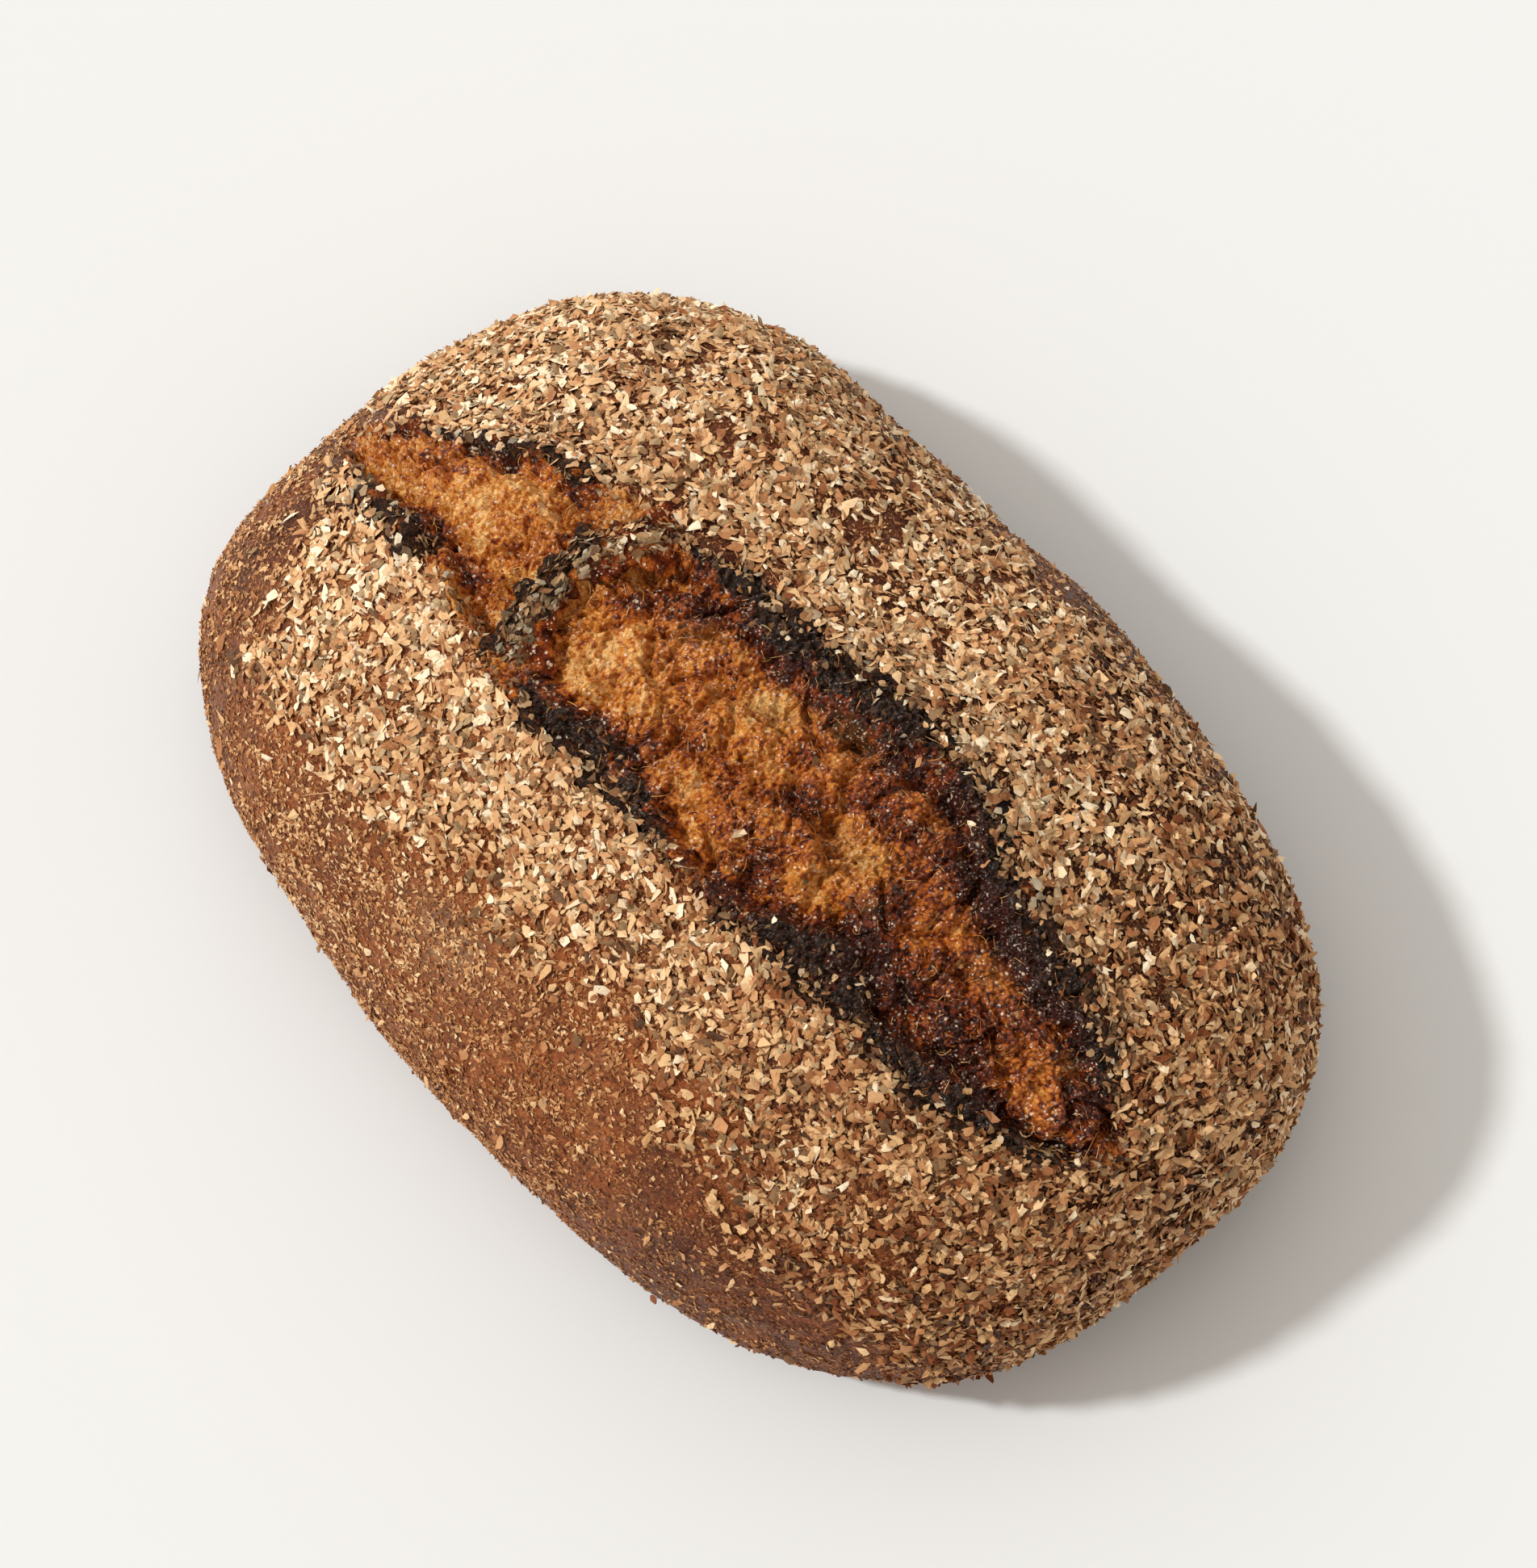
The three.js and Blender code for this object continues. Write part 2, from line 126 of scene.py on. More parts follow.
def scramble(cells: Array, seed: int) -> Array:
    """Whole number that looks random for each cell of a cube lattice.

    Args:
        cells: Whole cell coordinates, one row of three for each point.
        seed: Number that picks one field of the many.

    Returns:
        One number from 0 to 2 to the 32 for each row: the coordinates times large primes,
        joined by exclusive or, then shifted and multiplied twice.
    """
    key = (cells[:, 0] * 73856093) ^ (cells[:, 1] * 19349663) ^ (cells[:, 2] * 83492791)
    key = ((key ^ (seed * 2654435761)) & 0xFFFFFFFF).astype(np.uint64)
    key = ((key ^ (key >> np.uint64(15))) * np.uint64(2246822519)) & np.uint64(0xFFFFFFFF)
    key = ((key ^ (key >> np.uint64(13))) * np.uint64(3266489917)) & np.uint64(0xFFFFFFFF)
    return (key ^ (key >> np.uint64(16))).astype(np.int64)


def noise(points: Array, size: float, seed: int) -> Array:
    """Smooth random field in space.

    Each lattice corner holds a random direction. A corner's value at a point is the direction
    times the step from the corner, and the eight corners are blended by an eased share.

    Args:
        points: Places in millimetres, one row of three each.
        size: Edge of a lattice cell, about the width of one bump.
        seed: Number that picks one field of the many.

    Returns:
        One value for each point, about -1 to 1.
    """
    cell = points / size
    low = np.floor(cell).astype(np.int64)
    part = cell - low
    eased = part**3 * (part * (part * 6.0 - 15.0) + 10.0)
    total = np.zeros(len(points))
    for corner in itertools.product((0, 1), repeat=3):
        step = np.array(corner)
        direction = GRADIENTS[scramble(low + step, seed) % len(GRADIENTS)]
        value = np.einsum("ij,ij->i", direction, part - step)
        total += value * np.prod(np.where(step == 1, eased, 1.0 - eased), axis=1)
    return total * NOISE_GAIN


def layered(points: Array, size: float, seed: int, layers: int) -> Array:
    """Sum of noise fields, each half as wide and half as strong as the one before.

    Args:
        points: Places in millimetres.
        size: Bump width of the first field.
        seed: Number that picks the fields.
        layers: Count of fields.

    Returns:
        One value for each point, about -1 to 1.
    """
    total = np.zeros(len(points))
    for layer in range(layers):
        total += noise(points, size / 2**layer, seed + layer) / 2**layer
    return total / (2.0 - 0.5 ** (layers - 1))


def cell_distance(points: Array, size: float, seed: int) -> Array:
    """Distance to the nearest of one random spot in each cell of a cube lattice.

    Args:
        points: Places in millimetres.
        size: Edge of a lattice cell.
        seed: Number that picks the spots.

    Returns:
        The distance over the cell's edge, 0 at a spot.
    """
    cell = points / size
    low = np.floor(cell).astype(np.int64)
    part = cell - low
    nearest = np.full(len(points), 9.0)
    for corner in itertools.product((-1, 0, 1), repeat=3):
        step = np.array(corner)
        key = scramble(low + step, seed)
        spot = np.stack([key & 1023, (key >> 10) & 1023, (key >> 20) & 1023], axis=1) / 1023.0
        gap = np.linalg.norm(step + spot - part, axis=1)
        nearest = np.minimum(nearest, gap)
    return nearest


class Side(Enum):
    """The two crust edges of the split."""

    LOW = -1
    HIGH = 1


@dataclass(frozen=True)
class Ear:
    """A stretch of crust edge that curls up above the lip."""

    x: float
    spread: float
    rise: float
    side: Side


@dataclass(frozen=True)
class Oval:
    """An oval spot on the loaf: place, half sizes, heading in degrees, and how strong it is."""

    x: float
    y: float
    along: float
    across: float
    heading: float
    amount: float

    def bell_at(self, x: Array, y: Array) -> Array:
        """Oval bell: 1 in the middle, falling with the squared distance over each half size.

        Args:
            x: Places along the loaf.
            y: Places across it.

        Returns:
            Share of the spot's amount at each place.
        """
        turn = math.radians(self.heading)
        along = (x - self.x) * math.cos(turn) + (y - self.y) * math.sin(turn)
        across = (y - self.y) * math.cos(turn) - (x - self.x) * math.sin(turn)
        return np.exp(-((along / self.along) ** 2) - (across / self.across) ** 2)


EARS = (
    Ear(-72, 14, 1.6, Side.HIGH),
    Ear(4, 26, 1.8, Side.HIGH),
    Ear(46, 20, 1.3, Side.HIGH),
    Ear(-88, 9, 1.8, Side.LOW),
    Ear(-28, 16, 1.2, Side.LOW),
    Ear(38, 18, 1.4, Side.LOW),
)

# Lobes and hollows of the crumb, with their rise in millimetres
CRUMB_FORMS = (
    Oval(-86, -3, 24, 7, 8, 1.7),
    Oval(-64, 7, 15, 8, 25, 1.6),
    Oval(-68, -14, 12, 5, -8, -1.4),
    Oval(-24, -4, 20, 12, 48, 2.8),
    Oval(-32, 12, 12, 6, 40, 1.2),
    Oval(-17, -5, 9, 3, -50, -1.8),
    Oval(-2, 11, 9, 4, 0, -2.2),
    Oval(4, -3, 14, 9, -35, 2.0),
    Oval(9, 19, 6, 3, 8, -1.8),
    Oval(8, -15, 12, 5, 0, 1.4),
    Oval(19, 3, 6, 4, 20, -2.6),
    Oval(28, 13, 14, 6, 12, 1.8),
    Oval(22, -6, 10, 3, -50, 1.6),
    Oval(31, -8, 9, 4, -12, -2.0),
    Oval(52, 7, 18, 6, -6, 1.4),
    Oval(50, -7, 14, 6, 0, 0.9),
    Oval(78, -3, 18, 7, 0, 1.0),
)

# Deep holes of the crumb, with their rise in millimetres
HOLES = (
    Oval(-78, -14.5, 4.6, 1.9, 80, -6.5),
    Oval(-56.5, -12, 2.2, 1.6, 20, -4.0),
    Oval(-30.5, 6.4, 7.0, 0.7, 46, -3.4),
    Oval(-13.5, 7.5, 3.6, 1.8, 20, -2.8),
    Oval(19, 3.4, 2.8, 1.8, 25, -3.5),
    Oval(9.5, 19, 3.4, 1.7, 10, -3.0),
    Oval(33, -8.5, 2.9, 1.4, -10, -3.0),
    Oval(58, 2.5, 2.6, 2.0, 0, -4.0),
    Oval(100, 3.6, 3.0, 1.6, 15, -3.5),
)

# Where the crumb is toasted more or less than the rest
TINTS = (
    Oval(-91, -3, 11, 5, 20, 0.10),
    Oval(-84, 1, 3, 2, 0, 0.30),
    Oval(-78, -4, 9, 3.5, 25, -0.24),
    Oval(-68, -12, 9, 3.5, 10, 0.12),
    Oval(-59, -5, 4, 2.2, 30, -0.22),
    Oval(-66, 12, 7, 3, 40, 0.14),
    Oval(-57, 16, 6, 3, 30, -0.10),
    Oval(-37, 10.5, 14, 4.5, 45, 0.38),
    Oval(-28, 17, 9, 3, 20, 0.30),
    Oval(-34, -6, 9, 7, 48, -0.14),
    Oval(-25, -15, 7, 4, 30, 0.14),
    Oval(-14, -7, 9, 7, 48, 0.16),
    Oval(-17, 10, 6, 2.2, 10, 0.36),
    Oval(-5, 12, 6, 3.5, 10, -0.20),
    Oval(-8.5, 11, 2.4, 1.6, 30, -0.5),
    Oval(-72, -6.5, 1.8, 1.2, 0, -0.4),
    Oval(-3, -19, 9, 3, 8, -0.12),
    Oval(10, 1, 6, 2.5, 35, 0.34),
    Oval(15, 7, 7, 4, 20, -0.12),
    Oval(24, 11, 9, 3, 5, 0.28),
    Oval(26, 3, 8, 3, 10, -0.20),
    Oval(12, -12, 10, 5, -40, 0.12),
    Oval(22, 21, 14, 3, 5, 0.22),
    Oval(60, 8, 9, 3, -8, -0.14),
    Oval(56, -9, 13, 5, 0, 0.25),
    Oval(93, 1, 12, 4, 0, -0.08),
    Oval(-90, 7.5, 9, 2.2, 22, 0.36),
)

# Open pockets of pale, hardly baked crumb
POCKETS = (
    Oval(-57, 16, 5, 2.5, 30, 0.5),
    Oval(-27, 9.5, 6, 2.2, 46, 0.8),
    Oval(-4, 11.5, 7, 3.2, 30, 0.85),
    Oval(9, 18, 5, 3, 8, 0.5),
    Oval(26, 3, 8, 3.2, 10, 0.8),
    Oval(35.6, -2, 3, 2, 0, 0.5),
    Oval(62, 6, 4.5, 3, 0, 0.5),
    Oval(85, 5.6, 3, 2, 0, 0.4),
)

# Thin patches of the bran coat, with the share of bran that is missing
THIN_PATCHES = (
    Oval(-24, 52, 9, 7, 0, 0.8),
    Oval(74, 64, 20, 11, 0, 0.5),
    Oval(70, 39, 8, 8, 0, 0.45),
    Oval(74, -45, 9, 4, 0, 0.6),
    Oval(88, -46, 8, 5, 0, 0.65),
    Oval(9, -53, 15, 5, 0, 0.8),
    Oval(-24, 26, 10, 4, 0, 0.6),
    Oval(-42, 23, 7, 3, 0, 0.5),
    Oval(-57, -24, 10, 4, 0, 0.6),
)


@dataclass(frozen=True)
class Drift:
    """A change of tone that eases in over a span along the loaf and a span across it."""

    change: float
    along: Span
    across: Span

    def at(self, x: Array, y: Array) -> Array:
        """The change times its eased share along X and its eased share along Y."""
        return self.change * ease(*self.along, x) * ease(*self.across, y)


# Slow changes of the flakes' tone
FLAKE_DRIFTS = (
    Drift(-0.16, (-80.0, -95.0), (-42.0, -54.0)),
    Drift(0.12, (-60.0, -100.0), (-46.0, -36.0)),
    Drift(0.20, (98.0, 116.0), (4.0, 28.0)),
    # Darker at +X on the -Y side: painted shade where the loaf turns from the light
    Drift(-0.30, (60.0, 90.0), (-28.0, -44.0)),
)

# Slow changes of the skin's warmth
SKIN_DRIFTS = (
    # Darker on the low flank towards +X: painted shade where the loaf turns from the light
    Drift(-0.22, (20.0, 60.0), (-50.0, -62.0)),
    # Darker under the bran towards +X: partly a darker crust, partly painted shade between the
    # flakes
    Drift(-0.26, (-10.0, 50.0), (-52.0, -40.0)),
)

# Dust on the low flank near the -X end
FLOUR_DRIFT = Drift(0.12, (-60.0, -90.0), (-28.0, -45.0))


@dataclass(frozen=True)
class LipStretch:
    """A stretch of crust edge that stands up and curls over the split, in millimetres."""

    start: float
    end: float
    side: Side
    reach: float
    over: float
    rise: float


LIP_STRETCHES = (
    LipStretch(-101, -77, Side.LOW, 5.4, 2.6, 3.8),
    LipStretch(-47, -8, Side.LOW, 3.4, 1.4, 2.0),
    LipStretch(14, 58, Side.LOW, 3.2, 1.2, 1.6),
    LipStretch(60, 97, Side.LOW, 2.8, 1.0, 1.3),
    LipStretch(-92, -60, Side.HIGH, 2.8, 1.7, 2.3),
    LipStretch(-24, 9, Side.HIGH, 3.2, 1.3, 1.5),
    LipStretch(12, 44, Side.HIGH, 3.0, 1.0, 1.0),
    LipStretch(46, 92, Side.HIGH, 2.8, 1.2, 1.4),
)


@dataclass(frozen=True)
class LoafForm:
    """Smooth dome, swells and split of the loaf, in millimetres.

    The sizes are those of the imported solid, with the -X tip of the split a little narrower. The
    torn edges add finer noise of their own.
    """

    length: float = 250.0
    width: float = 171.4
    height: float = 90.0
    belly_height: float = 14.0
    base_inset: float = 11.0
    plan_squareness: float = 2.7
    fullness_side: float = 2.15
    fullness_end: float = 2.5
    outline_lobes: tuple[tuple[int, float, float], ...] = (
        (2, 0.0, 0.009),
        (3, -0.0028, 0.0028),
        (4, 0.0, 0.0082),
        (5, 0.0044, -0.003),
        (6, -0.0036, 0.0081),
        (8, -0.0012, -0.0028),
    )
    swell_count: int = 6
    swell_length: float = 95.0
    swell_rise: float = 0.9
    swell_crowding: float = 0.4
    swell_phase_step: float = 1.7
    golden_angle: float = 2.39996
    # station along X, -Y crust edge, -Y and +Y limits of the burnt rim, +Y crust edge
    split_stations: tuple[tuple[float, ...], ...] = (
        (-118, -6, -5.8, -4.2, -4),
        (-110, -12.5, -11.5, -4, -2.5),
        (-98, -14.5, -13, 2.5, 5),
        (-80, -18, -11, 9.5, 12.5),
        (-62, -21, -19, 16, 20),
        (-44, -24, -18, 18, 23.5),
        (-22, -24, -16, 19.5, 27.5),
        (0, -24, -20.5, 19.5, 30),
        (18, -25, -20, 25, 32.5),
        (36, -23, -12, 24, 30),
        (54, -22, -16, 14, 23),
        (74, -20, -12, 11, 19.5),
        (90, -12.5, -9.5, 9.5, 12.5),
        (104, -1, -0.8, 4.8, 5),
        (110, 3, 3.2, 3.8, 4),
    )
    tip_fade: float = 10.0
    lip_rise_high: float = 1.8
    lip_rise_low: float = 1.5
    lip_spread: float = 8.0
    lip_wall: float = 1.3
    valley_depth: float = 3.0
    crumb_crown: float = 1.2
    crumb_flatness: float = 4.0
    strap_x: float = -54.5
    strap_bend: float = 0.018
    strap_middle_y: float = -2.0
    strap_trough_ahead: float = 8.0
    strap_trough_spread: float = 4.0
    strap_trough_depth: float = 2.4
    tear_wide: float = 2.0
    tear_fine: float = 1.0
    floor_under_crumb: float = 9.0

    @property
    def first_tip(self) -> float:
        """Station at which the split begins, on the -X end."""
        return self.split_stations[0][0]

    @property
    def last_tip(self) -> float:
        """Station at which the split ends, near the +X end."""
        return self.split_stations[-1][0]

    def outline_radius(self, heading: Array) -> Array:
        """Distance from the middle to the widest line: a superellipse with slow lobes.

        Args:
            heading: Angle round the loaf, in radians.

        Returns:
            The radius at each heading.
        """
        along = np.abs(np.cos(heading) / (self.length / 2)) ** self.plan_squareness
        across = np.abs(np.sin(heading) / (self.width / 2)) ** self.plan_squareness
        swelling = 1.0
        for lobes, cosine, sine in self.outline_lobes:
            swelling = swelling + cosine * np.cos(lobes * heading) + sine * np.sin(lobes * heading)
        return swelling * (along + across) ** (-1.0 / self.plan_squareness)

    def fullness(self, heading: Array) -> Array:
        """Power of the crown's curve: fuller towards the ends than at the sides."""
        return mix(self.fullness_side, self.fullness_end, np.cos(heading) ** 2)

    def dome_points(self, s: Array, t: Array) -> Array:
        """Smooth dome over a square of s and t from -1 to 1.

        The square is drawn to a disc. The disc's radius is the turn from crown to belly: the
        plan radius is its sine and the lift its cosine, each to the power 2 over the fullness.

        Args:
            s: Place along the loaf on the square.
            t: Place across it.

        Returns:
            Points, with a last axis of three.
        """
        disc_x = s * np.sqrt(1.0 - t * t / 2.0)
        disc_y = t * np.sqrt(1.0 - s * s / 2.0)
        turn = np.minimum(1.0, np.hypot(disc_x, disc_y)) * math.pi / 2
        heading = np.arctan2(disc_y * self.width, disc_x * self.length)
        power = 2.0 / self.fullness(heading)
        radius = self.outline_radius(heading) * np.sin(turn) ** power
        lift = np.maximum(0.0, np.cos(turn)) ** power
        z = self.belly_height + (self.height - self.belly_height) * lift
        return np.stack([radius * np.cos(heading), radius * np.sin(heading), z], axis=-1)

    def dome_height(self, x: Array, y: Array) -> Array:
        """Height of the smooth dome over the plan: 1 minus the radius share to the fullness.

        Args:
            x: Places along the loaf.
            y: Places across it.

        Returns:
            Heights, at the belly's height outside the outline.
        """
        heading = np.arctan2(y, x)
        share = np.hypot(x, y) / self.outline_radius(heading)
        full = self.fullness(heading)
        lift = np.maximum(0.0, 1.0 - np.minimum(1.0, share) ** full) ** (1.0 / full)
        return self.belly_height + (self.height - self.belly_height) * lift

    def dome_over_plan(self, x: Array, y: Array) -> tuple[Array, Array]:
        """Points of the smooth dome over the plan, and their outward directions.

        Args:
            x: Places along the loaf.
            y: Places across it.

        Returns:
            Points and unit normals, the normals from height steps of a tenth of a millimetre.
        """
        step = 0.1
        slope_x = (self.dome_height(x + step, y) - self.dome_height(x - step, y)) / (2 * step)
        slope_y = (self.dome_height(x, y + step) - self.dome_height(x, y - step)) / (2 * step)
        points = np.stack([x, y, self.dome_height(x, y)], axis=-1)
        return points, unit(np.stack([-slope_x, -slope_y, np.ones_like(x)], axis=-1))

    def swell(self, x: Array, y: Array) -> Array:
        """Low swells of the crust: plane waves at turned headings, shorter and lower in turn.

        Args:
            x: Places along the loaf.
            y: Places across it.

        Returns:
            Rise of the crust.
        """
        rise = np.zeros(np.broadcast(x, y).shape)
        for wave in range(self.swell_count):
            heading = wave * self.golden_angle
            travel = x * math.cos(heading) + y * math.sin(heading)
            length = self.swell_length / (1.0 + self.swell_crowding * wave)
            turn = 2 * math.pi * travel / length + self.swell_phase_step * wave
            rise += self.swell_rise / (1 + wave) * np.sin(turn)
        return rise

    def smooth_edge(self, column: int, x: Array) -> Array:
        """One line of the split, by cubic pieces through the stations.

        Args:
            column: Which line, from 1 for the -Y crust edge to 4 for the +Y one.
            x: Places along the loaf.

        Returns:
            Place of the line across the loaf.
        """
        table = np.array(self.split_stations, float)
        stations, values = table[:, 0], table[:, column]
        wide = np.concatenate([stations[:1], stations, stations[-1:]])
        tall = np.concatenate([values[:1], values, values[-1:]])
        slopes = (tall[2:] - tall[:-2]) / (wide[2:] - wide[:-2])
        place = np.clip(x, stations[0], stations[-1])
        i = np.clip(np.searchsorted(stations, place, side="right") - 1, 0, len(stations) - 2)
        span = stations[i + 1] - stations[i]
        u = (place - stations[i]) / span
        start_share = 2 * u**3 - 3 * u**2 + 1
        bends = (u**3 - 2 * u**2 + u) * slopes[i] + (u**3 - u**2) * slopes[i + 1]
        return start_share * values[i] + (1 - start_share) * values[i + 1] + span * bends

    def torn_edge(self, column: int, x: Array) -> Array:
        """A line of the split with its ragged tear: wide and fine noise along it.

        Args:
            column: Which line, from 1 to 4.
            x: Places along the loaf.

        Returns:
            Place of the torn line across the loaf.
        """
        shape = np.shape(x)
        flat = np.ravel(x)
        spots = np.stack([flat, np.full(flat.size, 31.0 * column), np.zeros(flat.size)], axis=1)
        ragged = self.tear_wide * noise(spots, 11.0, 40 + column)
        ragged += self.tear_fine * noise(spots, 3.6, 50 + column)
        return self.smooth_edge(column, x) + (ragged * self.open_share(flat)).reshape(shape)

    def open_share(self, x: Array) -> Array:
        """How far the split is open: 0 at its tips, 1 a tip's fade inside them."""
        start = ease(self.first_tip, self.first_tip + self.tip_fade, x)
        return start * (1.0 - ease(self.last_tip - self.tip_fade, self.last_tip, x))

    def lip_rise(self, x: Array, side: Side, with_ears: bool = True) -> Array:
        """Rise of the lip on one side of the split.

        Args:
            x: Places along the loaf.
            side: Which crust edge.
            with_ears: Whether the curled ears count.

        Returns:
            Rise over the smooth dome.
        """
        base = self.lip_rise_high if side is Side.HIGH else self.lip_rise_low
        rise = np.full(np.shape(x), base)
        for ear in EARS:
            if with_ears and ear.side is side:
                rise += ear.rise * bell(x, ear.x, ear.spread)
        return rise

    def strap_line(self, y: Array) -> Array:
        """Middle of the strap along X: a parabola bowed away from its ends."""
        return self.strap_x + self.strap_bend * (y - self.strap_middle_y) ** 2

    def crumb_rise(self, x: Array, y: Array, boost: float = 1.0) -> Array:
        """Rise of the crumb: a crown that drops to a valley at each side, lobes and hollows.

        Args:
            x: Places along the loaf.
            y: Places across it.
            boost: Factor on the lobes and hollows.

        Returns:
            Rise over the smooth dome, before the lips are joined on.
        """
        low, high = self.smooth_edge(2, x), self.smooth_edge(3, x)
        half = np.maximum(2.0, (high - low) / 2)
        across = np.minimum(1.0, np.abs(y - (low + high) / 2) / half)
        drop = self.crumb_crown + self.valley_depth
        rise = self.crumb_crown - drop * across**self.crumb_flatness
        for form in CRUMB_FORMS:
            rise += boost * form.amount * form.bell_at(x, y)
        ahead = self.strap_line(y) + self.strap_trough_ahead
        return rise - self.strap_trough_depth * bell(x, ahead, self.strap_trough_spread)

    def crust_rise(self, x: Array, y: Array) -> Array:
        """Rise of the crust skin: lips that fall off outwards and a sunk floor in the split.

        Args:
            x: Places along the loaf.
            y: Places across it.

        Returns:
            Rise over the smooth dome.
        """
        low, high = self.torn_edge(1, x), self.torn_edge(4, x)
        inside = ease(low, low + self.lip_wall, y)
        inside *= 1.0 - ease(high - self.lip_wall, high, y)
        beyond = np.maximum(0.0, np.maximum(low - y, y - high))
        is_high = y > (low + high) / 2
        lip = np.where(is_high, self.lip_rise(x, Side.HIGH), self.lip_rise(x, Side.LOW))
        lip *= np.exp(-((beyond / self.lip_spread) ** 2))
        sunk = self.crumb_rise(x, y) - self.floor_under_crumb
        return self.open_share(x) * mix(lip, sunk, inside)


def plan_shift(form: LoafForm) -> Array:
    """Step that brings the form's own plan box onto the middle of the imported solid's box.

    Args:
        form: The loaf's form.

    Returns:
        X, Y and Z of the step in millimetres.
    """
    low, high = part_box("loaf")
    middle = (np.array(low) + np.array(high)) / 2 / MM
    heading = np.linspace(0.0, 2 * math.pi, 1441)
    radius = form.outline_radius(heading)
    x, y = radius * np.cos(heading), radius * np.sin(heading)
    own = np.array([(x.min() + x.max()) / 2, (y.min() + y.max()) / 2])
    return np.array([middle[0] - own[0], middle[1] - own[1], low[2] / MM])


FORM = LoafForm()
SHIFT = plan_shift(FORM)


def link_to_scene(thing: Object) -> None:
    """Links a new object to the scene."""
    bpy.context.scene.collection.objects.link(thing)


def make_object(
    name: str, points: Array, faces: Array, attributes: dict[str, Array], smooth: bool
) -> Object:
    """Closed mesh from arrays, in metres and in the model's frame, turned to face outwards.

    Args:
        name: Name of the piece.
        points: Vertices in millimetres.
        faces: Triangles as three vertex numbers, one row each.
        attributes: One number for each vertex, by attribute name.
        smooth: Whether the faces shade smoothly.

    Returns:
        The new object, linked to the scene.
    """
    mesh = bpy.data.meshes.new(name)
    places = (points + SHIFT) * MM
    a, b, c = (points[faces[:, corner]] for corner in range(3))
    if np.sum(a * np.cross(b, c)) < 0:
        faces = faces[:, ::-1]
    mesh.vertices.add(len(places))
    mesh.vertices.foreach_set("co", places.astype(np.float32).ravel())
    mesh.loops.add(faces.size)
    mesh.loops.foreach_set("vertex_index", faces.astype(np.int32).ravel())
    mesh.polygons.add(len(faces))
    mesh.polygons.foreach_set("loop_start", np.arange(len(faces), dtype=np.int32) * 3)
    mesh.polygons.foreach_set("use_smooth", np.full(len(faces), smooth))
    for title, values in attributes.items():
        layer = mesh.attributes.new(title, "FLOAT", "POINT")
        layer.data.foreach_set("value", np.asarray(values, np.float32))
    mesh.update(calc_edges=True)
    mesh.validate()
    piece = bpy.data.objects.new(name, mesh)
    link_to_scene(piece)
    return piece


def grid_quads(rows: int, columns: int) -> Array:
    """Quads of a grid whose vertices run along the columns first.

    Args:
        rows: Count of vertex rows.
        columns: Count of vertices in a row.

    Returns:
        Four vertex numbers for each cell, turning left over the grid.
    """
    corner = np.arange((rows - 1) * columns).reshape(rows - 1, columns)[:, :-1].ravel()
    return np.stack([corner, corner + 1, corner + columns + 1, corner + columns], axis=1)


def border_ring(rows: int, columns: int) -> Array:
    """Vertex numbers once round the border of a grid, first along row 0.

    Args:
        rows: Count of vertex rows.
        columns: Count of vertices in a row.

    Returns:
        The ring of vertex numbers.
    """
    grid = np.arange(rows * columns).reshape(rows, columns)
    return np.concatenate([grid[0, :-1], grid[:-1, -1], grid[-1, :0:-1], grid[:0:-1, 0]])


def ring_quads(upper: Array, lower: Array) -> Array:
    """Quads between two closed rings of vertex numbers, facing out when both turn left."""
    return np.stack([upper, lower, np.roll(lower, -1), np.roll(upper, -1)], axis=1)


def tube_parts(rings: Array) -> tuple[Array, Array]:
    """Closed tubes from rings of points, each end shut by a fan to the ring's middle.

    Args:
        rings: Points by tube, step along the tube and side round it.

    Returns:
        Vertices and quads, a triangle repeating one corner.
    """
    count, steps, sides = rings.shape[:3]
    hubs = rings[:, [0, -1]].mean(axis=2)
    places = np.concatenate([rings.reshape(count, -1, 3), hubs], axis=1)
    numbers = np.arange(steps * sides).reshape(steps, sides)
    faces = [ring_quads(numbers[i], numbers[i + 1]) for i in range(steps - 1)]
    first, last = numbers[0], numbers[-1]
    hub = np.full(sides, steps * sides)
    faces.append(np.stack([first, np.roll(first, -1), hub, hub], axis=1))
    faces.append(np.stack([np.roll(last, -1), last, hub + 1, hub + 1], axis=1))
    pattern = np.concatenate(faces)
    quads = np.arange(count)[:, None, None] * places.shape[1] + pattern[None]
    return places.reshape(-1, 3), quads.reshape(-1, 4)


def surface_normals(points: Array) -> Array:
    """Unit normals of a grid surface, from steps to the neighbours along both directions."""
    return unit(np.cross(np.gradient(points, axis=1), np.gradient(points, axis=0)))


def set_inputs(node: bpy.types.Node, **values: float | tuple[float, ...]) -> None:
    """Sets constants on a node's own sockets; an underscore stands for a space.

    Args:
        node: The node.
        **values: Number, or linear colour with alpha, for each socket.
    """
    for title, value in values.items():
        node.inputs[title.replace("_", " ")].default_value = value


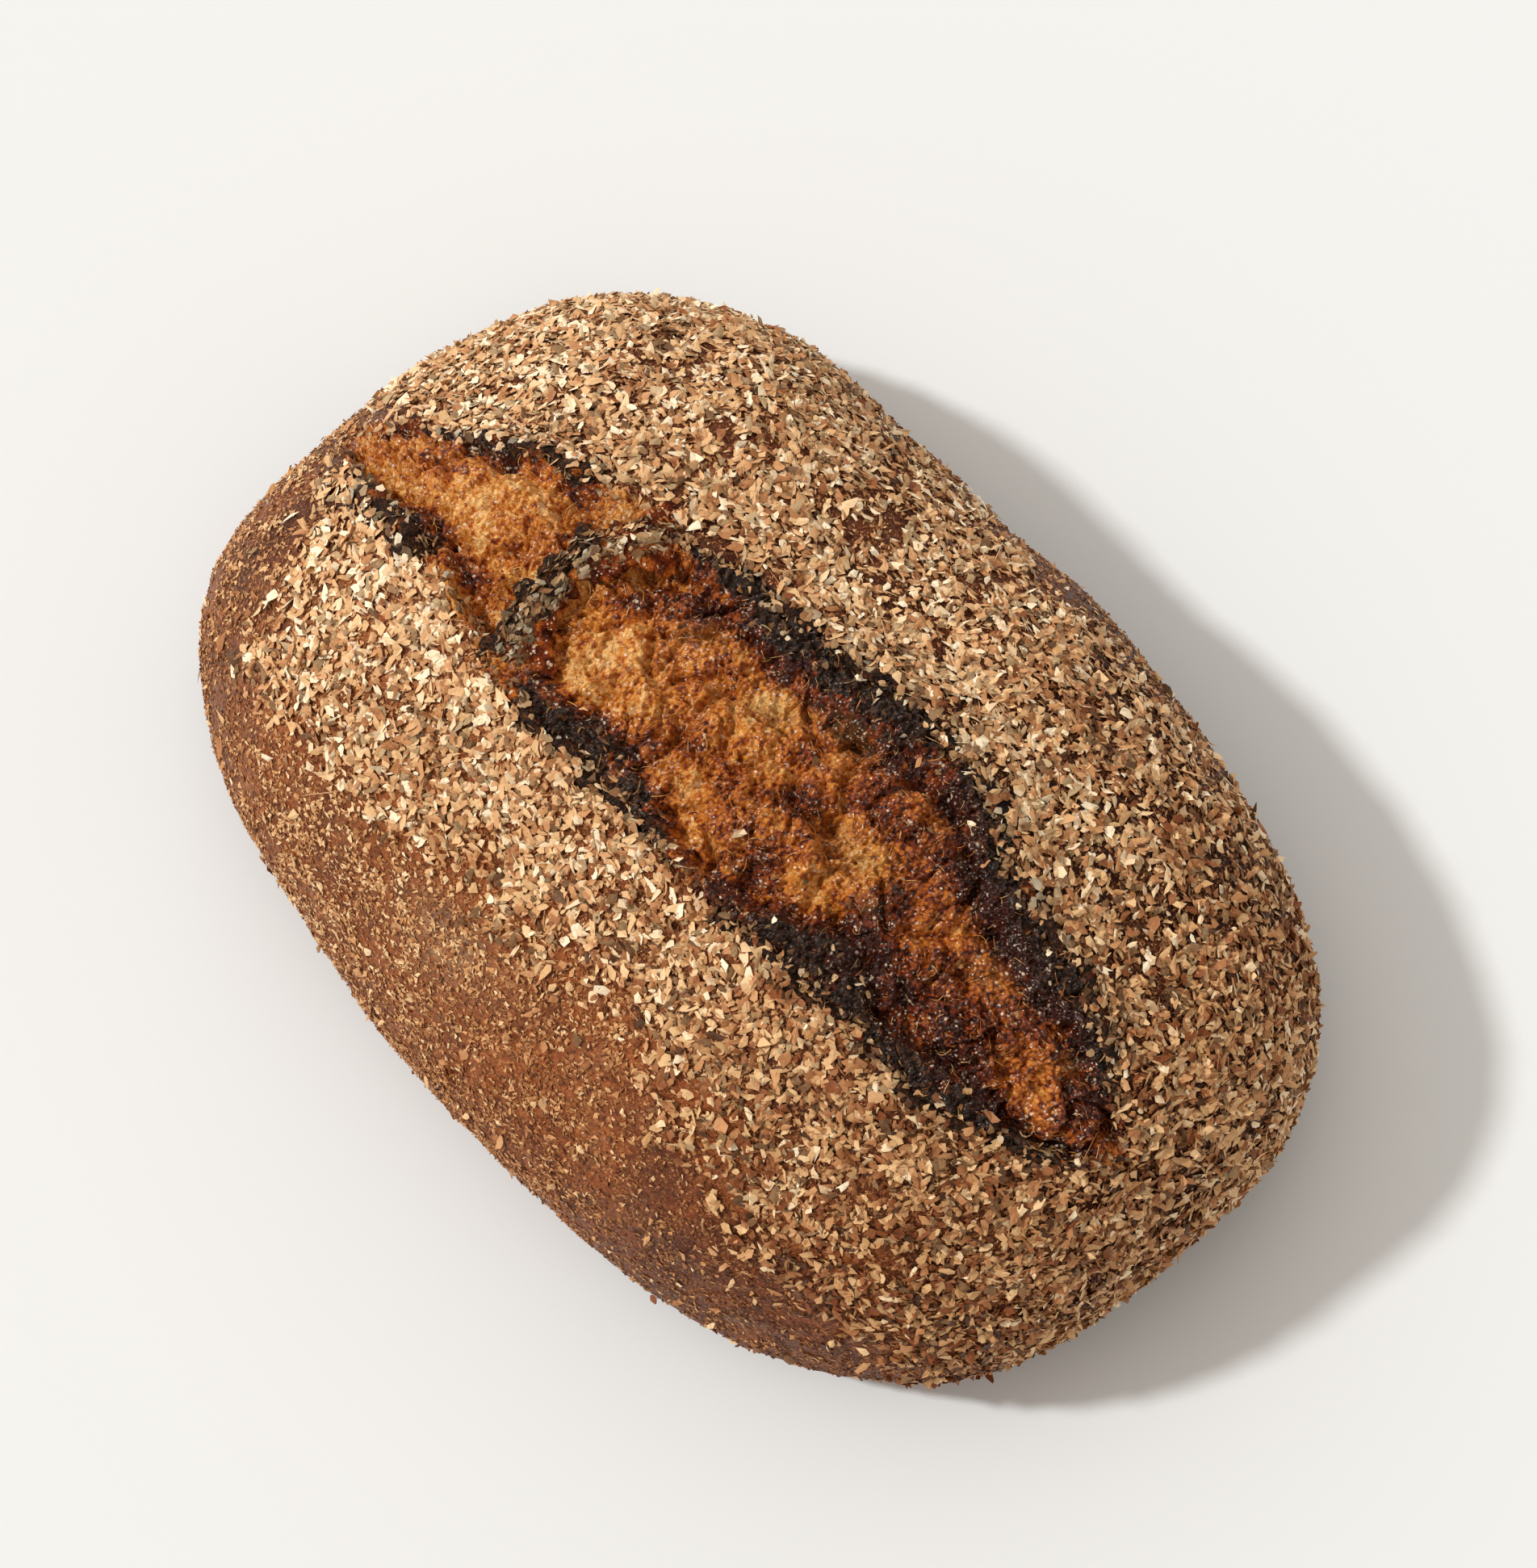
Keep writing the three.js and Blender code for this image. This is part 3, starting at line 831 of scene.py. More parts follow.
class Bench:
    """Adds and links the shader nodes of one material."""

    def __init__(self, name: str) -> None:
        """Starts a material with its surface shader.

        Args:
            name: Name of the material.
        """
        self.material = bpy.data.materials.new(name)
        self.material.use_nodes = True
        self.tree = self.material.node_tree
        self.shader = self.tree.nodes["Principled BSDF"]
        self.place = self.node("TexCoord").outputs["Object"]

    def node(self, kind: str) -> bpy.types.Node:
        """Adds a shader node of a kind, such as Math."""
        return self.tree.nodes.new("ShaderNode" + kind)

    def set(self, **values: float | tuple[float, ...]) -> None:
        """Sets constants on the shader's own sockets."""
        set_inputs(self.shader, **values)

    def link(self, source: Socket, target: Socket) -> None:
        """Joins an output to an input."""
        self.tree.links.new(source, target)

    def feed(self, value: Socket | float | tuple[float, ...], target: Socket) -> None:
        """Links an output to a socket, or sets a constant on it.

        Args:
            value: Output, number, vector or linear colour.
            target: The socket.
        """
        if isinstance(value, Socket):
            self.link(value, target)
        else:
            target.default_value = value

    def glints(self, width: float, slope: float) -> None:
        """Gives the coat small flat facets, each tipped its own way.

        Inside a cell the height is the step from the cell's spot times the cell's own random
        direction, so it climbs evenly one way.

        Args:
            width: Width of a facet in millimetres.
            slope: How steeply the facets are tipped.
        """
        texture = self.node("TexVoronoi")
        set_inputs(texture, Scale=1.0 / (width * MM))
        self.link(self.place, texture.inputs["Vector"])
        step = self.maths("SUBTRACT", self.place, texture.outputs["Position"], "Vector")
        tip = self.maths("SUBTRACT", texture.outputs["Color"], (0.5, 0.5, 0.5), "Vector")
        bumper = self.node("Bump")
        set_inputs(bumper, Strength=1.0, Distance=slope)
        self.link(self.maths("DOT_PRODUCT", step, tip), bumper.inputs["Height"])
        self.link(bumper.outputs["Normal"], self.shader.inputs["Coat Normal"])

    def noise(
        self, width: float, detail: float = 3.0, rough: float = 0.55, warp: float = 0.0
    ) -> Socket:
        """Noise texture with bumps of about a given width.

        Args:
            width: Width of a bump in millimetres.
            detail: Count of finer layers.
            rough: Strength of each finer layer.
            warp: How far the field is bent by itself.

        Returns:
            The factor output, about 0.2 to 0.8.
        """
        texture = self.node("TexNoise")
        scale = 1.0 / (width * MM)
        set_inputs(texture, Scale=scale, Detail=detail, Roughness=rough, Distortion=warp)
        self.link(self.place, texture.inputs["Vector"])
        return texture.outputs["Fac"]

    def cells(self, width: float) -> Socket:
        """Distance field of random cells about a given width in millimetres."""
        texture = self.node("TexVoronoi")
        set_inputs(texture, Scale=1.0 / (width * MM))
        self.link(self.place, texture.inputs["Vector"])
        return texture.outputs["Distance"]

    def attribute(self, name: str) -> Socket:
        """Number that the mesh carries under a name."""
        reader = self.node("Attribute")
        reader.attribute_name = name
        return reader.outputs["Fac"]

    def maths(
        self,
        action: str,
        first: Socket | float,
        second: Socket | float | Colour,
        result: str = "Value",
    ) -> Socket:
        """One sum on two numbers or on two vectors.

        Args:
            action: Blender's name of the operation, such as ADD.
            first: First number, vector or socket.
            second: Second number, vector or socket.
            result: Vector for a sum that gives a vector.

        Returns:
            The result.
        """
        on_vectors = result == "Vector" or action == "DOT_PRODUCT"
        sum_node = self.node("VectorMath" if on_vectors else "Math")
        sum_node.operation = action
        for socket, value in zip(sum_node.inputs, (first, second)):
            self.feed(value, socket)
        return sum_node.outputs[result]

    def between(
        self, value: Socket, low: float, high: float, start: float = 0.0, end: float = 1.0
    ) -> Socket:
        """Eased change from start to end as the value goes from low to high.

        Args:
            value: Number to read.
            low: Value that gives the start.
            high: Value that gives the end.
            start: Result at low.
            end: Result at high.

        Returns:
            The result.
        """
        ranger = self.node("MapRange")
        ranger.interpolation_type = "SMOOTHSTEP"
        self.link(value, ranger.inputs["Value"])
        set_inputs(ranger, From_Min=low, From_Max=high, To_Min=start, To_Max=end)
        return ranger.outputs["Result"]

    def ramp(self, value: Socket, stops: list[tuple[float, Colour]]) -> Socket:
        """Colour ramp with its stops given as the eye reads them.

        Args:
            value: Number that picks the colour.
            stops: Places from 0 to 1, each with its colour.

        Returns:
            The colour.
        """
        ramp_node = self.node("ValToRGB")
        elements = ramp_node.color_ramp.elements
        while len(elements) < len(stops):
            elements.new(1.0)
        for element, (place, colour) in zip(elements, stops):
            element.position = place
            element.color = srgb(*colour)
        self.link(value, ramp_node.inputs["Fac"])
        return ramp_node.outputs["Color"]

    def blend(self, share: Socket, first: Socket | Colour, second: Socket | Colour) -> Socket:
        """Mixes two colours.

        Args:
            share: Share of the second colour.
            first: First colour or socket.
            second: Second colour or socket.

        Returns:
            The mixed colour.
        """
        mixer = self.node("Mix")
        mixer.data_type = "RGBA"
        factor, start, end = (mixer.inputs[i] for i in MIX_COLOUR_INPUTS)
        self.link(share, factor)
        for socket, value in ((start, first), (end, second)):
            self.feed(value if isinstance(value, Socket) else srgb(*value), socket)
        return mixer.outputs[MIX_COLOUR_OUTPUT]

    def colour(self, source: Socket) -> None:
        """Gives the shader its base colour."""
        self.link(source, self.shader.inputs["Base Color"])

    def roughness(self, source: Socket) -> None:
        """Gives the shader its roughness."""
        self.link(source, self.shader.inputs["Roughness"])

    def bump(self, *layers: tuple[Socket, float]) -> None:
        """Stacks bump layers on the shader.

        Args:
            *layers: Height fields, each with its full height in millimetres.
        """
        normal = None
        for height, depth in layers:
            bumper = self.node("Bump")
            set_inputs(bumper, Strength=1.0, Distance=depth * MM)
            self.link(height, bumper.inputs["Height"])
            if normal is not None:
                self.link(normal, bumper.inputs["Normal"])
            normal = bumper.outputs["Normal"]
        self.link(normal, self.shader.inputs["Normal"])


@dataclass(frozen=True)
class CrustFinish:
    """Dark baked crust: red-brown skin, a burnt shade at the lips and pale dust and specks."""

    deep: Colour = (0.21, 0.09, 0.055)
    brown: Colour = (0.40, 0.21, 0.135)
    warm: Colour = (0.60, 0.325, 0.165)
    burnt: Colour = (0.10, 0.075, 0.065)
    speck: Colour = (0.78, 0.56, 0.34)
    flour: Colour = (0.62, 0.52, 0.42)

    def build(self) -> bpy.types.Material:
        """Makes the material from the crust's char, warmth and flour attributes."""
        bench = Bench("baked_crust")
        tone = bench.maths("ADD", bench.noise(16.0, 4.0, 0.6), bench.attribute("warmth"))
        colour = bench.ramp(tone, [(0.30, self.deep), (0.55, self.brown), (0.95, self.warm)])
        mottled = bench.between(bench.noise(1.8, 4.0, 0.7), 0.42, 0.68)
        colour = bench.blend(bench.maths("MULTIPLY", mottled, 0.7), colour, self.deep)
        patches = bench.between(bench.noise(6.0, 5.0, 0.7), 0.48, 0.66)
        colour = bench.blend(bench.maths("MULTIPLY", patches, 0.55), colour, self.deep)
        specks = bench.between(bench.noise(0.75, 2.0, 0.75), 0.52, 0.62)
        drift = bench.between(bench.noise(7.0, 3.0, 0.6), 0.35, 0.75, 0.25, 0.95)
        colour = bench.blend(bench.maths("MULTIPLY", specks, drift), colour, self.speck)
        floury = bench.between(bench.noise(1.2, 3.0, 0.7), 0.35, 0.65, 0.1, 0.8)
        floury = bench.maths("MULTIPLY", floury, bench.attribute("flour"))
        colour = bench.blend(floury, colour, self.flour)
        char = bench.maths("ADD", bench.attribute("char"), bench.noise(3.0, 3.0, 0.6))
        colour = bench.blend(bench.between(char, 0.75, 1.15), colour, self.burnt)
        bench.colour(colour)
        bench.roughness(bench.between(bench.noise(1.1, 3.0, 0.6), 0.3, 0.7, 0.30, 0.62))
        bench.set(Specular_IOR_Level=0.14)
        bench.bump((bench.noise(2.4, 4.0, 0.65), 0.6), (bench.noise(0.6, 3.0, 0.65), 0.30))
        return bench.material


@dataclass(frozen=True)
class CrumbFinish:
    """Torn crumb: pale amber in the hollows to red-brown and black on the toasted crests."""

    name: str = "torn_crumb"
    gloss: float = 0.75
    pale: Colour = (0.93, 0.75, 0.48)
    amber: Colour = (0.84, 0.55, 0.22)
    orange: Colour = (0.71, 0.38, 0.11)
    russet: Colour = (0.46, 0.18, 0.05)
    dark: Colour = (0.20, 0.06, 0.02)
    burnt: Colour = (0.085, 0.055, 0.042)
    ash: Colour = (0.17, 0.115, 0.085)
    singed: Colour = (0.40, 0.22, 0.11)
    olive: Colour = (0.68, 0.53, 0.29)
    # Painted glints, with some pale crumb bits
    glint_and_fleck: Colour = (0.97, 0.88, 0.76)

    def build(self) -> bpy.types.Material:
        """Makes the material from the crumb's toast, char and hollow attributes."""
        bench = Bench(self.name)
        granules = bench.cells(0.6)
        coarse = bench.maths("MULTIPLY", bench.noise(2.4, 3.0, 0.6, 0.4), 0.6)
        fine = bench.maths("MULTIPLY", bench.noise(0.6, 3.0, 0.65), 0.6)
        tone = bench.maths("ADD", bench.attribute("toast"), bench.maths("ADD", coarse, fine))
        tone = bench.maths("SUBTRACT", tone, 0.60)
        stops = [
            (0.05, self.pale),
            (0.28, self.amber),
            (0.48, self.orange),
            (0.70, self.russet),
            (0.92, self.dark),
        ]
        colour = bench.ramp(tone, stops)
        hollow = bench.maths("MULTIPLY", bench.attribute("hollow"), 0.8)
        colour = bench.blend(hollow, colour, self.olive)
        # Pale flecks in two sizes: painted glints, with some pale crumb bits
        glints_and_flecks = bench.between(bench.cells(1.5), 0.29, 0.20)
        glint_spread = bench.between(bench.noise(4.0, 3.0, 0.6), 0.46, 0.60, 0.0, 0.75)
        colour = bench.blend(bench.maths("MULTIPLY", glints_and_flecks, glint_spread), colour, self.glint_and_fleck)
        small_glints_and_flecks = bench.between(bench.cells(0.9), 0.31, 0.20)
        small_glint_spread = bench.between(bench.noise(3.0, 3.0, 0.6), 0.47, 0.62, 0.0, 0.80)
        colour = bench.blend(bench.maths("MULTIPLY", small_glints_and_flecks, small_glint_spread), colour, self.glint_and_fleck)
        char = bench.maths("ADD", bench.attribute("char"), bench.noise(1.6, 5.0, 0.8))
        soot_stops = [(0.36, self.burnt), (0.52, self.ash), (0.64, self.singed)]
        soot = bench.ramp(bench.noise(1.0, 4.0, 0.75), soot_stops)
        colour = bench.blend(bench.between(char, 0.90, 1.16), colour, soot)
        bench.colour(colour)
        bench.roughness(bench.between(bench.noise(0.9, 2.0, 0.6), 0.35, 0.65, 0.25, 0.55))
        bench.set(Specular_IOR_Level=0.10, Coat_Weight=self.gloss, Coat_Roughness=0.28)
        bench.glints(0.5, 1.5)
        beads = bench.maths("SUBTRACT", 1.0, granules)
        bench.bump((beads, 0.28), (bench.noise(0.4, 3.0, 0.65, 0.5), 0.24))
        return bench.material


class BranTone(Enum):
    """Kinds of bran in the coat, each with its ramp of colours from dark to light."""

    PALE = ((0.0, (0.76, 0.58, 0.39)), (0.5, (0.91, 0.755, 0.555)), (1.0, (0.99, 0.93, 0.81)))
    TOASTED = ((0.0, (0.50, 0.27, 0.13)), (0.5, (0.76, 0.54, 0.355)), (1.0, (0.90, 0.73, 0.535)))
    DUSKY = ((0.0, (0.30, 0.18, 0.10)), (0.5, (0.55, 0.41, 0.275)), (1.0, (0.74, 0.635, 0.48)))
    HUSKS = ((0.0, (0.60, 0.38, 0.22)), (0.5, (0.82, 0.61, 0.40)), (1.0, (0.96, 0.85, 0.67)))
    SPECKS = ((0.0, (0.36, 0.19, 0.11)), (0.5, (0.66, 0.41, 0.23)), (1.0, (0.86, 0.69, 0.49)))
    FINES = ((0.0, (0.42, 0.24, 0.13)), (0.5, (0.70, 0.47, 0.29)), (1.0, (0.90, 0.74, 0.55)))


@dataclass(frozen=True)
class BranFinish:
    """Dry papery bran: each flake has its own tone, with faint streaks and spots."""

    tone: BranTone

    def build(self) -> bpy.types.Material:
        """Makes the material from the flakes' tone and scorch attributes."""
        bench = Bench("bran_" + self.tone.name.lower())
        grain = bench.maths("MULTIPLY", bench.noise(0.7, 3.0, 0.6), 0.5)
        tone = bench.maths("ADD", bench.attribute("tone"), bench.maths("SUBTRACT", grain, 0.25))
        colour = bench.ramp(tone, list(self.tone.value))
        colour = bench.blend(bench.attribute("scorch"), colour, (0.13, 0.09, 0.07))
        bench.colour(colour)
        bench.set(Roughness=0.55, Specular_IOR_Level=0.22)
        bench.bump((bench.noise(0.5, 2.0, 0.6), 0.10))
        return bench.material


@dataclass
class Surface:
    """A grid surface with its outward directions, for what is scattered on it."""

    points: Array
    normals: Array

    def scatter(self, count: int, weight: Array, rng: Draws) -> tuple[Array, Array]:
        """Random places on the surface, by area times a weight on each vertex.

        Args:
            count: Count of places.
            weight: Weight on each vertex of the grid.
            rng: Source of the random numbers.

        Returns:
            Points and normals, one row each.
        """
        p, n = self.points, self.normals
        along, across = p[:-1, 1:] - p[:-1, :-1], p[1:, :-1] - p[:-1, :-1]
        area = np.linalg.norm(np.cross(along, across), axis=-1)
        chance = area * np.maximum(0.0, weight[:-1, :-1])
        total = np.cumsum(chance.ravel())
        cell = np.searchsorted(total, rng.random(count) * total[-1])
        row, column = np.divmod(np.minimum(cell, total.size - 1), area.shape[1])
        u, v = rng.random((count, 1)), rng.random((count, 1))
        shares = ((1 - u) * (1 - v), u * (1 - v), (1 - u) * v, u * v)
        corners = list(zip(itertools.product((0, 1), repeat=2), shares))
        place = sum(share * p[row + i, column + j] for (i, j), share in corners)
        outward = sum(share * n[row + i, column + j] for (i, j), share in corners)
        return place, unit(outward)


@dataclass
class CrustShell:
    """Closed skin of the loaf: domed top with its lips, lower wall and flat base."""

    form: LoafForm
    columns: int = 320
    band_cells: tuple[int, ...] = (80, 18, 18, 18, 80)
    band_gaps: tuple[float, float] = (9.0, 5.0)
    lip_band: float = 2.2
    wall_rings: int = 9
    base_rings: int = 8
    blister: float = 0.5
    grain: float = 0.22
    search_steps: int = 14
    search_gain: float = 0.7
    surface: Surface = field(init=False)

    def place_across(self, s: Array, line: Array) -> Array:
        """Square places at which each column meets a line across the loaf, by small steps.

        Args:
            s: Square place of each column.
            line: Place of the line across the loaf, one for each column.

        Returns:
            Square place across, one for each column.
        """
        t = np.zeros_like(s)
        for _ in range(self.search_steps):
            miss = line - self.form.dome_points(s, t)[:, 1]
            t += self.search_gain * miss / (self.form.width / 2)
        return t

    def square_places(self) -> tuple[Array, Array]:
        """Grid of square places whose rows follow the two torn edges of the split.

        Returns:
            The s and t of each grid vertex.
        """
        form = self.form
        s = np.linspace(-1.0, 1.0, self.columns + 1)
        x = form.dome_points(s, np.zeros_like(s))[:, 0]
        low, high = form.torn_edge(1, x), form.torn_edge(4, x)
        middle = (low + high) / 2
        outer, inner = self.band_gaps
        lines = (
            np.minimum(low - self.lip_band, middle - outer),
            np.minimum(low + self.lip_band, middle - inner),
            np.maximum(high - self.lip_band, middle + inner),
            np.maximum(high + self.lip_band, middle + outer),
        )
        edge = np.ones_like(s)
        bounds = [-edge, *(self.place_across(s, line) for line in lines), edge]
        rows = [-edge[None]]
        for cells, start, end in zip(self.band_cells, bounds[:-1], bounds[1:]):
            share = (np.arange(1, cells + 1) / cells)[:, None]
            rows.append(mix(start[None], end[None], share))
        t = np.concatenate(rows)
        return np.broadcast_to(s, t.shape).copy(), t

    def relief(self, points: Array, calm: float) -> Array:
        """Fine relief of the skin: broad blisters and a fine grain, both noise fields.

        Args:
            points: Places in millimetres.
            calm: Factor on the relief.

        Returns:
            Rise at each place.
        """
        rise = self.blister * layered(points, 9.0, 11, 3)
        return (rise + self.grain * noise(points, 2.4, 17)) * calm

    def build(self) -> Object:
        """Makes the closed skin and keeps its top as a surface for the bran.

        Returns:
            The crust's object.
        """
        form = self.form
        s, t = self.square_places()
        dome = form.dome_points(s, t)
        outward = surface_normals(dome)
        x, y = dome[..., 0], dome[..., 1]
        edge = np.maximum(np.abs(s), np.abs(t))
        rise = form.swell(x, y) * (1.0 - ease(0.8, 1.0, edge))
        rise += form.crust_rise(x, y) * (1.0 - ease(0.97, 1.0, edge))
        flat = dome.reshape(-1, 3)
        rise += self.relief(flat, 1.0).reshape(rise.shape)
        top = dome + outward * rise[..., None]
        self.surface = Surface(top, surface_normals(top))

        rows, columns = s.shape
        ring = border_ring(rows, columns)
        belly = top.reshape(-1, 3)[ring]
        points = [top.reshape(-1, 3)]
        faces = [grid_quads(rows, columns)]
        count = rows * columns
        reach = np.linalg.norm(belly[:, :2], axis=1)
        direction = belly[:, :2] / reach[:, None]
        for level in range(1, self.wall_rings + 1):
            turn = math.pi / 2 * level / self.wall_rings
            inset = form.base_inset * (1.0 - math.cos(turn))
            height = belly[:, 2] * (1.0 - math.sin(turn))
            plan = direction * (reach - inset)[:, None]
            wall = np.column_stack([plan, height])
            wall[:, :2] += direction * (self.relief(wall, math.cos(turn)))[:, None]
            lower = np.arange(count, count + len(ring))
            points.append(wall)
            faces.append(ring_quads(ring, lower))
            ring, count = lower, count + len(lower)
        rim = points[-1]
        for level in range(1, self.base_rings + 1):
            share = 1.0 - level / (self.base_rings + 1)
            inner = rim * np.array([share, share, 1.0])
            hollow = 0.25 + 0.2 * noise(inner, 14.0, 23)
            inner[:, 2] = np.maximum(0.0, hollow) * (1.0 - share) ** 0.5
            lower = np.arange(count, count + len(ring))
            points.append(inner)
            faces.append(ring_quads(ring, lower))
            ring, count = lower, count + len(lower)
        points.append(np.array([[0.0, 0.0, 0.3]]))
        hub = np.full(len(ring), count)
        faces.append(np.stack([ring, hub, hub, np.roll(ring, -1)], axis=1))
        places = np.concatenate(points)
        return self.finish(places, np.concatenate(faces))

    def finish(self, places: Array, faces: Array) -> Object:
        """Joins the skin's arrays into an object with its char, warmth and flour attributes.

        Args:
            places: Vertices in millimetres.
            faces: Quads, a triangle repeating one corner.

        Returns:
            The crust's object.
        """
        x, y, z = places.T
        char = burnt_share(self.form, x, y)
        flank = ease(-44.0, -62.0, y) + ease(-104.0, -116.0, x) * (y < -5)
        warmth = 0.30 * np.clip(flank, 0, 1) - 0.25 * ease(10.0, 2.0, z)
        warmth -= 0.42 * bell(x, -114.0, 18.0) * ease(-2.0, -12.0, y)
        warmth += 0.12 * bell(x, -10.0, 40.0) * ease(-60.0, -75.0, y)
        warmth += 0.30 * ease(-10.0, -32.0, y) * ease(-66.0, -52.0, y)
        for drift in SKIN_DRIFTS:
            warmth += drift.at(x, y)
        flour = 0.8 * bell(x, -20.0, 14.0) * bell(y, -67.0, 6.0)
        flour += 0.35 * np.clip(noise(places, 12.0, 25), 0.0, 1.0) * np.clip(flank, 0, 1)
        flour += FLOUR_DRIFT.at(x, y)
        attributes = {"char": char, "warmth": warmth + 0.05, "flour": np.clip(flour, 0.0, 1.0)}
        piece = make_triangles("crust_shell", places, faces, attributes, smooth=True)
        piece.data.materials.append(CrustFinish().build())
        return piece


def make_triangles(
    name: str, places: Array, quads: Array, attributes: dict[str, Array], smooth: bool
) -> Object:
    """Object from quads cut into triangles, leaving out the flat ones of repeated corners.

    Args:
        name: Name of the piece.
        places: Vertices in millimetres.
        quads: Four vertex numbers for each face.
        attributes: One number for each vertex, by attribute name.
        smooth: Whether the faces shade smoothly.

    Returns:
        The new object.
    """
    halves = np.concatenate([quads[:, [0, 1, 2]], quads[:, [0, 2, 3]]])
    a, b, c = halves.T
    kept = halves[(a != b) & (b != c) & (a != c)]
    return make_object(name, places, kept, attributes, smooth)


def window(x: Array, opens: Span, closes: Span, share: float = 1.0) -> Array:
    """Share of a stretch along the loaf that eases in over one span and out over another."""
    return share * ease(*opens, x) * (1.0 - ease(*closes, x))


def char_strength(x: Array, side: Side) -> Array:
    """How burnt the rim of the split is along its length.

    Args:
        x: Places along the loaf.
        side: Which crust edge.

    Returns:
        0 where the rim is only brown, 1 where it is black.
    """
    if side is Side.HIGH:
        first = window(x, (-108.0, -92.0), (-66.0, -58.0))
        middle = window(x, (-56.0, -46.0), (-36.0, -28.0), 0.55)
        last = window(x, (-36.0, -26.0), (92.0, 102.0))
        return first + middle + last
    first = window(x, (-108.0, -98.0), (-82.0, -74.0))
    last = window(x, (-48.0, -40.0), (92.0, 103.0))
    return first + last * (1.0 - 0.45 * bell(x, 7.0, 13.0))


def burnt_share(form: LoafForm, x: Array, y: Array) -> Array:
    """How burnt the crust is beside the split: black at the edge, fading outwards.

    Args:
        form: The loaf's form.
        x: Places along the loaf.
        y: Places across it.

    Returns:
        0 to 1 for each place.
    """
    low, high = form.torn_edge(1, x), form.torn_edge(4, x)
    ragged = np.clip(1.0 + 1.1 * noise(np.stack([x, y, 0.0 * x], axis=-1), 7.0, 37), 0.15, 2.0)
    reach_high = (2.0 + 3.2 * bell(x, 48.0, 40.0)) * ragged
    reach_low = (1.9 + 2.0 * bell(x, 60.0, 30.0)) * ragged
    share_high = ease(high + reach_high, high - 0.5, y) * (y > 0)
    share_low = ease(low - reach_low, low + 0.5, y) * (y <= 0)
    share = share_high * char_strength(x, Side.HIGH) + share_low * char_strength(x, Side.LOW)
    beside = (x > form.first_tip) & (x < form.last_tip) & ((y < low + 2.5) | (y > high - 2.5))
    return np.clip(share, 0.0, 1.0) * beside


